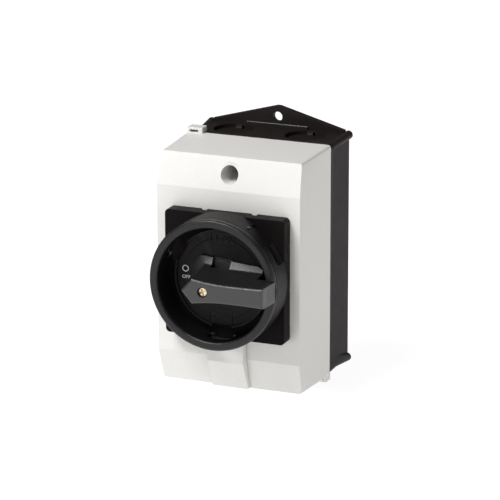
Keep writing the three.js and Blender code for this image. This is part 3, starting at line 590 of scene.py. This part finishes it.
def finished(bm, name, finish, body, stands_for=(), place=WALL, smooth=32.0):
    """Makes the mesh a shown piece that rides on a body and stands for its CAD nodes."""
    bmesh.ops.transform(bm, matrix=place, verts=bm.verts)
    bmesh.ops.recalc_face_normals(bm, faces=bm.faces)
    piece = loose_object(bm, name)
    for face in piece.data.polygons:
        face.use_smooth = True
    piece.data.set_sharp_from_angle(angle=math.radians(smooth))
    piece.data.materials.append(finish_named(finish))
    even = piece.modifiers.new("even shading", "WEIGHTED_NORMAL")
    even.keep_sharp = True
    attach(piece, body)
    if stands_for:
        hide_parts(*stands_for)
    return piece


def copy_of_node(node):
    """A merged copy of a CAD node, in the drawing's millimetres."""
    bm = bmesh.new()
    bm.from_mesh(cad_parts[node].data)
    bmesh.ops.transform(bm, matrix=WALL.inverted(), verts=bm.verts)
    bmesh.ops.remove_doubles(bm, verts=bm.verts, dist=0.004)
    flatten(bm, 0.6)
    return bm


WINDOW_CLOCKS = (60, 180, 300)

# ------------------------------------------------------------------ enclosure


def make_base():
    """The black base, with its lugs, ribs and knockouts."""
    sizes = bpy.context.scene.isolator_enclosure
    knockout_x, knockout_z, knockout_room = 20.0, 15.3, 11.5
    bm = copy_of_node("rear_base")
    shortest = 5.0

    def outer(spot, edge):
        rim = spot.z > RIM_Z - 1
        if math.hypot(abs(spot.x) - knockout_x, spot.z - knockout_z) < knockout_room:
            return False
        inside = abs(spot.x) < HALF_WIDTH - 4 and abs(spot.y) < sizes.half_height - 4
        return not rim and not inside and edge.calc_length() > shortest

    soften(bm, sizes.base_edge, 2, 40, outer)
    finished(bm, "base_shell", "base_black", "enclosure", ["rear_base"])
    ridge_radius, ridge_half, ridge_past_cover, ridge_z = 0.4, 17.0, 1.2, 3.6
    ridge = pushed(circle(ridge_radius, 16), -ridge_half, ridge_half, "yzx")
    place = (0, sizes.half_height + ridge_past_cover, ridge_z)
    bmesh.ops.translate(ridge, vec=place, verts=ridge.verts)
    finished(ridge, "lug_ridge", "handle_black", "enclosure", ["rear_base"])


def cover_points(inset):
    """Corner points of the cover's outside, or of its inside when inset by the wall."""
    sizes = bpy.context.scene.isolator_enclosure
    crease_in, end_in, steps = 0.75, 1.5, 6
    rim_radius, front_radius = max(1.6 - inset * 0.5, 0.3), 1.1 - inset * 0.3
    rim = RIM_Z - (PAST if inset else 0)
    points = []
    for sx in (-1, 1):
        for sy in (-1, 1):
            for i in range(steps + 1):
                turn = math.radians(90 * i / steps)
                c, s = math.cos(turn), math.sin(turn)
                x = HALF_WIDTH - inset - rim_radius * (1 - c)
                y = sizes.half_height - inset - rim_radius * (1 - s)
                points.append((sx * x, sy * y, rim))
                x = HALF_WIDTH - end_in - inset - front_radius * (1 - c)
                y = sizes.half_height - COVER_END_INSET - inset - front_radius * (1 - s)
                points.append((sx * x, sy * y, FRONT_Z - sizes.end_drop - inset))
            crease_x = HALF_WIDTH - crease_in - inset
            points.append((sx * crease_x, sy * sizes.crease, FRONT_Z - inset))
    return points


def make_cover():
    """The light grey cover with its screw wells and the hole for the handle."""
    sizes = bpy.context.scene.isolator_enclosure
    well_wall, well_floor, screw_hole, floor_z = 1.7, 2.5, 2.3, RIM_Z + 3.7
    handle_hole = 21.0
    bm = wrapped(cover_points(0))
    soften(bm, sizes.edge, 3, 9, lambda spot, edge: spot.z > RIM_Z + 2 and not is_upright(spot, edge))
    bm = cut(bm, wrapped(cover_points(sizes.wall)))
    tubes, bores = [], []
    for y in (sizes.well_y, -sizes.well_y):
        tube = bar(sizes.well_radius + well_wall, floor_z - well_floor, FRONT_Z - 3.5)
        tubes.append(move(tube, (0, y, 0)))
        bores.append(move(bar(sizes.well_radius, floor_z, FRONT_Z + PAST), (0, y, 0)))
        bores.append(move(bar(screw_hole, floor_z - 2 * well_floor, FRONT_Z, 24), (0, y, 0)))
    bores.append(move(bar(handle_hole, FRONT_Z - 9, FRONT_Z + PAST, 96), (AXIS.x, AXIS.y, 0)))
    bm = cut(join(bm, *tubes), *bores)

    def well_mouth(spot, _):
        from_well = math.hypot(spot.x, abs(spot.y) - sizes.well_y)
        return abs(from_well - sizes.well_radius) < 0.1 and spot.z > FRONT_Z - 7

    soften(bm, 0.35, 2, 30, well_mouth)
    finished(bm, "cover_shell", "cover_grey", "enclosure", ["front_cover"])


def make_seal_loops():
    """The two loops on the cover's rim that take a sealing wire."""
    sizes = bpy.context.scene.isolator_enclosure
    width, height, reach, overlap, from_side = 8.6, 3.3, 4.0, 2.6, 1.0
    slot_from, slot_width, slot_low, slot_high = 1.3, 4.8, 0.6, 1.9
    for name, turn in (("seal_loop_left", 0), ("seal_loop_right", 180)):
        left = -HALF_WIDTH + from_side
        low, high = sizes.half_height - 0.3, sizes.half_height + height - 0.4
        bm = block((left, low, RIM_Z - reach), (left + width, high, RIM_Z + overlap))
        slot = block(
            (left + slot_from, low + slot_low, RIM_Z - reach - PAST),
            (left + slot_from + slot_width, low + slot_high, RIM_Z + overlap + PAST),
        )
        bm = cut(bm, slot)
        soften(bm, 0.45, 3, 40)
        move(bm, turn=turn)
        finished(bm, name, "cover_grey", "enclosure", ["front_cover"])


def make_strip():
    """The strip that hides the lower cover screw."""
    sizes = bpy.context.scene.isolator_enclosure
    half, top_proud, end_proud, break_below = STRIP[1].x, 4.6, 2.2, 1.5
    slope = sizes.end_drop / (sizes.half_height - COVER_END_INSET - sizes.crease)

    def face(y):
        return FRONT_Z + CLEAR - slope * max(0, -y - sizes.crease)

    top_y, end_y, break_y = STRIP[1].y, STRIP[0].y, -sizes.crease - break_below
    side = [
        (top_y, face(top_y)),
        (-sizes.crease, face(-sizes.crease)),
        (end_y, face(end_y)),
        (end_y, face(end_y) + end_proud),
        (break_y, FRONT_Z + top_proud),
        (top_y, FRONT_Z + top_proud),
    ]
    bm = pushed(side, -half, half, "yzx")
    soften(bm, 0.6, 3, 9, lambda spot, edge: spot.z > face(spot.y) + 0.2)
    finished(bm, "cover_strip", "cover_grey", "enclosure", ["screw_cover_strip"])
    plug = bar(sizes.well_radius - CLEAR, FRONT_Z - 8, face(-sizes.well_y) - 0.1, 48)
    soften(plug, 0.4, 2, 40)
    move(plug, (0, -sizes.well_y, 0))
    finished(plug, "strip_plug", "cover_grey", "enclosure", ["screw_cover_strip"])


# ------------------------------------------------------------------ plate, collar and legend


def make_plate():
    """The square black plate with two notches in its top and two in its bottom."""
    sizes = bpy.context.scene.isolator_handle
    half, spacing, width, depth, height = sizes.plate_side / 2, 13.7, 3.4, 1.5, 2.5
    hole, spigot = 14.4, 20.6
    bm = block((-half, -half, PLATE_BACK), (half, half, PLATE_FACE))
    soften(bm, sizes.plate_corner, 5, 40, is_upright)
    notches = []
    for clock in (0, 180):
        for x in (-spacing, spacing):
            notch = block(
                (x - width / 2, half - depth, PLATE_BACK - PAST),
                (x + width / 2, half + PAST, PLATE_BACK + height),
            )
            notches.append(at_clock(notch, clock))
    bm = cut(bm, *notches)
    soften(bm, 0.5, 2, 40, lambda spot, edge: spot.z > PLATE_FACE - 0.1)
    bm = join(bm, bar(spigot, PLATE_BACK - SPIGOT_LENGTH, PLATE_BACK + PAST, 96))
    bm = cut(bm, bar(hole, PLATE_BACK - 2 * SPIGOT_LENGTH, PLATE_FACE + PAST, 96))
    place = WALL @ ON_AXIS
    finished(bm, "square_plate", "plate_black", "enclosure", ["front_plate"], place)


def window_tool(sizes, inner, outer, low, extra=0.0):
    """A block with rounded corners that cuts one padlock window at twelve o'clock."""
    half = sizes.window_width / 2 + extra
    bm = block((-half, inner, low), (half, outer, low + sizes.window_height + extra))
    soften(bm, 2.0, 4, 40, lambda spot, edge: abs(edge.verts[0].co.y - edge.verts[1].co.y) > 1)
    return bm


def make_collar():
    """The round collar, pierced by three padlock windows with a recess before each."""
    sizes = bpy.context.scene.isolator_handle
    foot = PLATE_FACE + 0.02
    inner = COLLAR_RADIUS - sizes.collar_wall
    low = PLATE_FACE + 0.7
    bm = turned([(inner, foot), (COLLAR_RADIUS, foot), (COLLAR_RADIUS, COLLAR_TOP), (inner, COLLAR_TOP)])
    tools = []
    recess_depth, recess_angle, recess_before = 0.8, 23.0, 19.0
    for clock in WINDOW_CLOCKS:
        tools.append(at_clock(window_tool(sizes, inner - 2, COLLAR_RADIUS + 2, low), clock))
        recess = bmesh.new()
        r0, r1 = COLLAR_RADIUS - recess_depth, COLLAR_RADIUS + PAST
        z0, z1 = low, low + 0.55 * sizes.window_height
        corners = [recess.verts.new(p) for p in ((0, r0, z0), (0, r1, z0), (0, r1, z1), (0, r0, z1))]
        face = recess.faces.new(corners)
        bmesh.ops.spin(
            recess,
            geom=[face],
            cent=(0, 0, 0),
            axis=(0, 0, 1),
            dvec=(0, 0, 0),
            angle=math.radians(recess_angle),
            steps=8,
        )
        bmesh.ops.recalc_face_normals(recess, faces=recess.faces)
        move(recess, turn=-recess_angle / 2)
        tools.append(at_clock(recess, clock - recess_before))
    bm = cut(bm, *tools)
    soften(bm, 0.3, 2, 40)
    place = WALL @ ON_AXIS
    finished(bm, "collar", "collar_black", "enclosure", ["front_plate"], place)
    mark_half, mark_sunk, mark_proud, mark_low, mark_high, mark_clock = 0.7, 0.2, 0.7, 5.5, 3, 29.5
    mark = block(
        (-mark_half, COLLAR_RADIUS - mark_sunk, COLLAR_TOP - mark_low),
        (mark_half, COLLAR_RADIUS + mark_proud, COLLAR_TOP - mark_high),
    )
    soften(mark, 0.3, 2, 40)
    at_clock(mark, mark_clock)
    finished(mark, "collar_mark", "handle_black", "enclosure", ["front_plate"], place)


def make_disc():
    """The legend disc with its raised lip, its step and its three slots."""
    hub, step, step_drop, lip_width, slot_half, slot_depth = 10.6, 21.2, 0.25, 1.1, 5.5, 1.8
    low, top = DISC[0].z, DISC_FACE
    profile = [
        (hub, low),
        (DISC_RADIUS, low),
        (DISC_RADIUS, top + DISC_LIP),
        (DISC_RADIUS - lip_width, top + DISC_LIP),
        (DISC_RADIUS - lip_width, top - step_drop),
        (step, top - step_drop),
        (step - step_drop, top),
        (hub, top),
    ]
    bm = turned(profile)
    slots = []
    for clock in WINDOW_CLOCKS:
        slot = block(
            (-slot_half, DISC_RADIUS - slot_depth, low - PAST),
            (slot_half, DISC_RADIUS + PAST, top + 2 * DISC_LIP),
        )
        slots.append(at_clock(slot, clock))
    bm = cut(bm, *slots)
    soften(bm, 0.18, 2, 40)
    place = WALL @ ON_AXIS
    finished(bm, "legend_face", "disc_black", "enclosure", ["legend_disc"], place)


def lettering(text, size, thickness, x, y, low):
    """Raised text centred on a point."""
    curve = bpy.data.curves.new("text", "FONT")
    curve.body = text
    curve.size = size
    curve.align_x = "CENTER"
    curve.align_y = "CENTER"
    curve.extrude = thickness / 2
    curve.resolution_u = 4
    holder = bpy.data.objects.new("text", curve)
    bpy.context.scene.collection.objects.link(holder)
    mesh = bpy.data.meshes.new_from_object(holder)
    bpy.data.objects.remove(holder)
    bm = bmesh.new()
    bm.from_mesh(mesh)
    bpy.data.meshes.remove(mesh)
    bmesh.ops.remove_doubles(bm, verts=bm.verts, dist=0.0005)
    return move(bm, (x, y, low + thickness / 2))


def outline_frame(x0, x1, y0, y1, line, low, high):
    """A thin raised rectangle."""
    bm = block((x0, y0, low), (x1, y1, high))
    return cut(bm, block((x0 + line, y0 + line, low - PAST), (x1 - line, y1 - line, high + PAST)))


def make_legend():
    """The legend: white O and OFF at the pointer, raised marks at twelve and six o'clock."""
    place = WALL @ ON_AXIS
    low = DISC_FACE - 0.05
    printed = [("print_o", "O", 5.0, -20.2, 3.1), ("print_off", "OFF", 2.6, -19.9, -1.2)]
    for name, text, size, x, y in printed:
        bm = lettering(text, size, 0.2, x, y, low)
        finished(bm, name, "white_print", "enclosure", (), place)
    raised = [
        ("raised_i", "I", 5.6, -3.3, 20.4),
        ("raised_on", "ON", 5.0, 3.0, 20.4),
        ("raised_o", "O", 5.2, -3.7, -20.0),
        ("raised_off", "OFF", 3.0, 2.0, -20.0),
    ]
    for name, text, size, x, y in raised:
        bm = lettering(text, size, 0.35, x, y, low)
        finished(bm, name, "disc_black", "enclosure", (), place)
    frames = [("raised_frame_on", -6.3, 6.8, 17.0, 24.2), ("raised_frame_off", -7.3, 5.4, -24.2, -15.9)]
    for name, x0, x1, y0, y1 in frames:
        bm = outline_frame(x0, x1, y0, y1, 0.3, low, low + 0.3)
        finished(bm, name, "disc_black", "enclosure", (), place)


# ------------------------------------------------------------------ ring and grip


def make_ring():
    """The turning ring: a skirt inside the collar, a rounded front, and a seat for the grip."""
    sizes = bpy.context.scene.isolator_handle
    outer = RING_RADIUS + 0.4
    inner = RING_RADIUS - sizes.ring_wall
    skirt_outer = COLLAR_RADIUS - sizes.collar_wall - CLEAR
    skirt_inner = skirt_outer - 1.4
    skirt_low = RING[0].z
    groove_z, groove, seat_half, seat_rise = RING_FRONT - 2.0, 0.4, 5.75, 0.9
    profile = [
        (skirt_inner, skirt_low),
        (skirt_outer, skirt_low),
        (skirt_outer, RING_BACK),
        (outer, RING_BACK),
        (outer, groove_z - groove),
        (outer - groove, groove_z),
        (outer, groove_z + groove),
        (outer, RING_FRONT),
        (inner, RING_FRONT),
        (inner, RING_BACK),
        (skirt_inner, RING_BACK - 1),
    ]
    bm = turned(profile)

    def front_edges(spot, _):
        return spot.z > RING_FRONT - 0.1

    soften(bm, 1.3, 5, 40, front_edges)
    seat_low = (0, -seat_half, RING_BACK + seat_rise)
    tools = [block(seat_low, (RING_RADIUS + PAST, seat_half, RING_FRONT + PAST))]
    for clock in WINDOW_CLOCKS:
        tools.append(
            at_clock(window_tool(sizes, skirt_inner - 2, RING_RADIUS + 2, PLATE_FACE + 0.3, 1.0), clock)
        )
    bm = cut(bm, *tools)
    soften(bm, 0.2, 2, 40, lambda spot, edge: spot.z < RING_BACK + 0.2 or spot.x > 25)
    place = WALL @ ON_AXIS
    finished(bm, "turning_ring", "ring_black", "handle_rotor", ["locking_ring"], place)


def grip_side(count):
    """Points of the grip's upper side, from its tip along its shoulder to its tail."""
    tip, shoulder, waist, tail = -11.8, (-5.9, 6.65), (13.0, 4.9), 32.4
    points = []
    nose_steps = 5
    for i in range(nose_steps):
        t = i / nose_steps
        points.append((tip + (shoulder[0] - tip) * t, shoulder[1] * t))
    for i in range(count + 1):
        t = i / count
        x = shoulder[0] + (tail - shoulder[0]) * t
        reach = (shoulder[0] - waist[0]) if x < waist[0] else (tail - waist[0])
        rise = (shoulder[1] if x < waist[0] else 5.15) - waist[1]
        points.append((x, waist[1] + rise * ((x - waist[0]) / reach) ** 2))
    return points


def foot_side(count):
    """Points of the foot's upper side, which answer to those of the grip's side."""
    nose_radius, nose_angle = 16.3, 46.5
    corner = (18.5, 8.8)
    end = (22.5, 6.8)
    points = []
    nose_steps = 5
    for i in range(nose_steps):
        turn = math.radians(180 - nose_angle * i / nose_steps)
        points.append((nose_radius * math.cos(turn), nose_radius * math.sin(turn)))
    turn = math.radians(180 - nose_angle)
    start = (nose_radius * math.cos(turn), nose_radius * math.sin(turn))
    for i in range(count + 1):
        t = i / count
        x = start[0] + (end[0] - start[0]) * t
        if x < corner[0]:
            y = start[1] + (corner[1] - start[1]) * (x - start[0]) / (corner[0] - start[0])
        else:
            y = corner[1] + (end[1] - corner[1]) * (x - corner[0]) / (end[0] - corner[0])
        points.append((x, y))
    return points


def loft(rings):
    """A closed body through rings of the same number of points."""
    bm = bmesh.new()
    loops = []
    for ring in rings:
        verts = [bm.verts.new(p) for p in ring]
        loops.append([bm.edges.new((a, b)) for a, b in zip(verts, verts[1:] + verts[:1])])
    for low, high in zip(loops, loops[1:]):
        bmesh.ops.bridge_loops(bm, edges=low + high)
    for loop in (loops[0], loops[-1]):
        bmesh.ops.contextual_create(bm, geom=loop)
    bmesh.ops.recalc_face_normals(bm, faces=bm.faces)
    return bm


def inset(outline, width):
    """A counter-clockwise or clockwise outline drawn in by a width at every corner."""
    count = len(outline)
    turning = sum(
        a[0] * b[1] - b[0] * a[1] for a, b in zip(outline, outline[1:] + outline[:1])
    )
    hand = 1 if turning > 0 else -1
    drawn = []
    for i, here in enumerate(outline):
        before, after = Vector(outline[i - 1]), Vector(outline[(i + 1) % count])
        here = Vector(here)
        one, two = (here - before).normalized(), (after - here).normalized()
        mitre = Vector((-one.y - two.y, one.x + two.x)).normalized() * hand
        square = max(0.35, mitre.dot(Vector((-one.y, one.x)) * hand))
        spot = here + mitre * (width / square)
        drawn.append((spot.x, spot.y))
    return drawn


def both_sides(side, z):
    """A ring at one height from the points of its upper side."""
    return [(x, y, z) for x, y in mirrored(side)]


def mirrored(side):
    """A closed outline from the points of its upper side, the first lying on the axis."""
    return side + [(x, -y) for x, y in reversed(side[1:])]


def grip_flank(count):
    """The grip's body: foot, hollow chamfer, nearly upright flank and a rounded front edge."""
    sizes = bpy.context.scene.isolator_handle
    top, foot = grip_side(count), foot_side(count)
    foot_top = GRIP_FOOT + sizes.foot_height
    edge = sizes.grip_edge
    hollow = [(0.0, 1.0), (2.1, 0.40), (2.6, 0.30), (3.4, 0.25), (5.0, 0.22)]
    rings = [both_sides(foot, GRIP_FOOT + 0.05)]
    shares = [(foot_top + rise, share) for rise, share in hollow]
    tail_share, tail_from, tail_lean = 0.35, 18.5, 0.1
    last_z, last_share = shares[-1]
    end_z = GRIP_FRONT - edge
    levels = 5
    for i in range(1, levels + 1):
        t = i / levels
        shares.append((last_z + (end_z - last_z) * t, last_share * (1 - t)))
    for z, share in shares:
        side = []
        for (x, y), (fx, fy) in zip(top, foot):
            along = share if share > tail_share or x < tail_from else 0
            lean = tail_lean * (GRIP_FRONT - z) if x > tail_from + 8 else 0
            side.append((x + (min(fx, x) - x) * along + lean, y + (fy - y) * share))
        rings.append(both_sides(side, z))
    edge_steps = 5
    for i in range(1, edge_steps + 1):
        turn = math.radians(90 * i / edge_steps)
        drawn = inset(mirrored(top), edge * (1 - math.cos(turn)))
        z = end_z + edge * math.sin(turn)
        rings.append([(x, y, z) for x, y in drawn])
    return loft(rings)


def make_grip():
    """The thumb grip, with its foot, its notch and the bore for its screw."""
    bm = grip_flank(14)
    tail_low, foot_limit, hub = RING_BACK + 1.2, DISC_RADIUS - 1.7, 10.2
    under = cut(
        block((18, -15, GRIP_FOOT - 5), (RING_RADIUS + 5, 15, tail_low)),
        bar(foot_limit, GRIP_FOOT - 8, tail_low + PAST, 96),
    )
    notch = block((-4.2, 6.0, GRIP_FOOT + 0.1), (5.6, 14, GRIP_FOOT + 6))
    bm = cut(bm, under, notch)
    soften(bm, 0.25, 2, 50, lambda spot, edge: GRIP_FOOT + 0.5 < spot.z < GRIP_FRONT - 4)
    bm = join(bm, bar(hub, GRIP[0].z, GRIP_FOOT + 1, 64))
    bm = cut(bm, bar(2.65, GRIP_FRONT - 3.6, GRIP_FRONT + PAST, 40))
    place = WALL @ ON_AXIS
    finished(bm, "grip", "handle_black", "handle_rotor", ["thumb_grip"], place)


def make_handle_screw():
    """The plated screw in the grip: a domed head with a cross cut in it."""
    radius, top = 2.35, HANDLE_SCREW[1].z
    seat = top - 2.1
    bm = bar(radius, seat, top - 0.3, 48)
    soften(bm, 0.35, 3, 40, lambda spot, edge: spot.z > top - 0.4)
    dome = bar(radius - 0.35, top - 0.35, top, 48, radius * 0.45)
    bm = join(bm, dome)
    arms = [
        block((-1.5, -0.3, top - 1.1), (1.5, 0.3, top + PAST)),
        block((-0.3, -1.5, top - 1.1), (0.3, 1.5, top + PAST)),
    ]
    bm = cut(bm, *arms)
    soften(bm, 0.06, 1, 40, lambda spot, edge: spot.z > top - 0.6)
    bm = join(bm, bar(1.5, HANDLE_SCREW[0].z, seat + 0.2, 24))
    move(bm, turn=18)
    place = WALL @ ON_AXIS
    finished(bm, "grip_screw", "screw_brass", "handle_rotor", ["handle_screw"], place)


# ------------------------------------------------------------------ finishes of the inner pieces

INNER_FINISHES = {
    "cover_seal": "seal_rubber",
    "plate_seal": "seal_rubber",
    "cover_screw": "zinc_steel",
    "plate_screw": "zinc_steel",
    "shaft_bush": "cam_cream",
    "drive_shaft": "zinc_steel",
    "end_plate": "block_grey",
    "foot_screw": "zinc_steel",
    "latch_housing": "block_grey",
    "latch_wheel": "cam_cream",
    "latch_roller": "zinc_steel",
    "latch_spring": "spring_steel",
    "tie_screw": "zinc_steel",
    "contact_chamber": "block_grey",
    "switch_cam": "cam_cream",
    "plunger": "cam_cream",
    "contact_bridge": "contact_copper",
    "contact_spring": "spring_steel",
    "fixed_contact": "contact_copper",
    "terminal_screw": "zinc_steel",
    "earth_bar": "bar_brass",
    "neutral_bar": "bar_brass",
    "earth_screw": "zinc_steel",
    "neutral_screw": "zinc_steel",
}


def paint_inner_pieces():
    """Gives every CAD node that stays its finish."""
    for name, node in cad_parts.items():
        if node.hide_render:
            continue
        found = [f for start, f in INNER_FINISHES.items() if name.startswith(start)]
        if not found:
            raise RuntimeError("no finish for " + name)
        node.data.materials.clear()
        node.data.materials.append(finish_named(found[0]))


# ------------------------------------------------------------------ stage


def area_light(name, place, aim, size, power, colour):
    light = bpy.data.lights.new(name, "AREA")
    light.shape = "RECTANGLE"
    light.size, light.size_y = size
    light.energy = power
    light.color = colour
    holder = bpy.data.objects.new(name, light)
    bpy.context.scene.collection.objects.link(holder)
    holder.location = place
    holder.rotation_euler = (Vector(aim) - Vector(place)).to_track_quat("-Z", "Y").to_euler()


def make_stage():
    """A plain pale floor, soft studio light and the camera."""
    bm = bmesh.new()
    bmesh.ops.create_grid(bm, x_segments=4, y_segments=4, size=8)
    bmesh.ops.translate(bm, vec=(0, 4, BASE[0].y * MM), verts=bm.verts)
    floor = loose_object(bm, "floor")
    finish = Finish("pale_floor")
    tone = finish.noise(60.0, 2.0)
    colour = finish.mix(tone, (0.34, 0.34, 0.34, 1), (0.36, 0.36, 0.36, 1))
    finish.set(Base_Color=colour, Roughness=0.9)
    finish.shader.inputs["Emission Color"].default_value = (1, 1, 1, 1)
    finish.shader.inputs["Emission Strength"].default_value = 0.92
    floor.data.materials.append(finish.material)

    world = bpy.data.worlds.new("studio")
    world.use_nodes = True
    background = world.node_tree.nodes["Background"]
    background.inputs["Color"].default_value = (0.97, 0.98, 1.0, 1)
    background.inputs["Strength"].default_value = 0.15
    bpy.context.scene.world = world
    bpy.context.scene.view_settings.view_transform = "Standard"

    middle = (0, -0.06, 0)
    area_light("key", (-0.50, -1.55, 0.30), middle, (0.6, 0.6), 2, (1.0, 1.0, 1.0))
    area_light("top", (-0.33, -0.66, 0.93), middle, (0.6, 0.45), 14, (1.0, 1.0, 1.0))
    area_light("side", (1.3, -0.2, 0.2), middle, (0.6, 0.6), 1.2, (1.0, 0.88, 0.74))

    camera = bpy.data.cameras.new("camera")
    camera.lens = 227.7
    camera.sensor_width = 36
    camera.clip_end = 50
    holder = bpy.data.objects.new("camera", camera)
    bpy.context.scene.collection.objects.link(holder)
    holder.location = Vector((596.37, -1495.60, 465.7)) * MM
    forward = Vector((-0.36415, 0.88788, -0.28118))
    turn = forward.to_track_quat("-Z", "Y").to_matrix()
    roll = Matrix.Rotation(math.radians(-0.09), 3, "Z")
    holder.rotation_euler = (turn @ roll).to_euler()
    bpy.context.scene.camera = holder


# ------------------------------------------------------------------ operators


class ISOLATOR_OT_stage(bpy.types.Operator):
    """Sets up the floor, the light and the camera"""

    bl_idname = "isolator.stage"
    bl_label = "Stage"

    def execute(self, context):
        make_stage()
        return {"FINISHED"}


class ISOLATOR_OT_base(bpy.types.Operator):
    """Makes the black base"""

    bl_idname = "isolator.base"
    bl_label = "Base"

    def execute(self, context):
        make_base()
        return {"FINISHED"}


class ISOLATOR_OT_cover(bpy.types.Operator):
    """Makes the cover, its sealing loops and its strip"""

    bl_idname = "isolator.cover"
    bl_label = "Cover"

    def execute(self, context):
        make_cover()
        make_seal_loops()
        make_strip()
        return {"FINISHED"}


class ISOLATOR_OT_plate(bpy.types.Operator):
    """Makes the square plate and its collar"""

    bl_idname = "isolator.plate"
    bl_label = "Plate and collar"

    def execute(self, context):
        make_plate()
        make_collar()
        return {"FINISHED"}


class ISOLATOR_OT_legend(bpy.types.Operator):
    """Makes the legend disc and its lettering"""

    bl_idname = "isolator.legend"
    bl_label = "Legend"

    def execute(self, context):
        make_disc()
        make_legend()
        return {"FINISHED"}


class ISOLATOR_OT_handle(bpy.types.Operator):
    """Makes the turning ring, the grip and its screw"""

    bl_idname = "isolator.handle"
    bl_label = "Handle"

    def execute(self, context):
        make_ring()
        make_grip()
        make_handle_screw()
        return {"FINISHED"}


class ISOLATOR_OT_inner(bpy.types.Operator):
    """Gives the inner pieces their finishes"""

    bl_idname = "isolator.inner"
    bl_label = "Inner pieces"

    def execute(self, context):
        paint_inner_pieces()
        return {"FINISHED"}


class ISOLATOR_PT_panel(bpy.types.Panel):
    """Lists the steps that build the isolator"""

    bl_idname = "ISOLATOR_PT_panel"
    bl_label = "Isolator"
    bl_space_type = "VIEW_3D"
    bl_region_type = "UI"
    bl_category = "Isolator"

    def draw(self, context):
        for operator in OPERATORS:
            self.layout.operator(operator.bl_idname)


OPERATORS = (
    ISOLATOR_OT_stage,
    ISOLATOR_OT_base,
    ISOLATOR_OT_cover,
    ISOLATOR_OT_plate,
    ISOLATOR_OT_legend,
    ISOLATOR_OT_handle,
    ISOLATOR_OT_inner,
)
GROUPS = {
    "isolator_enclosure": EnclosureSizes,
    "isolator_handle": HandleSizes,
    "isolator_colours": FinishColours,
}


def register():
    for name, group in GROUPS.items():
        bpy.utils.register_class(group)
        setattr(bpy.types.Scene, name, bpy.props.PointerProperty(type=group))
    for operator in OPERATORS:
        bpy.utils.register_class(operator)
    bpy.utils.register_class(ISOLATOR_PT_panel)


def unregister():
    bpy.utils.unregister_class(ISOLATOR_PT_panel)
    for operator in reversed(OPERATORS):
        bpy.utils.unregister_class(operator)
    for name, group in GROUPS.items():
        delattr(bpy.types.Scene, name)
        bpy.utils.unregister_class(group)


def main():
    register()
    bpy.ops.isolator.stage()
    bpy.ops.isolator.base()
    bpy.ops.isolator.cover()
    bpy.ops.isolator.plate()
    bpy.ops.isolator.legend()
    bpy.ops.isolator.handle()
    bpy.ops.isolator.inner()


if __name__ == "__main__":
    main()
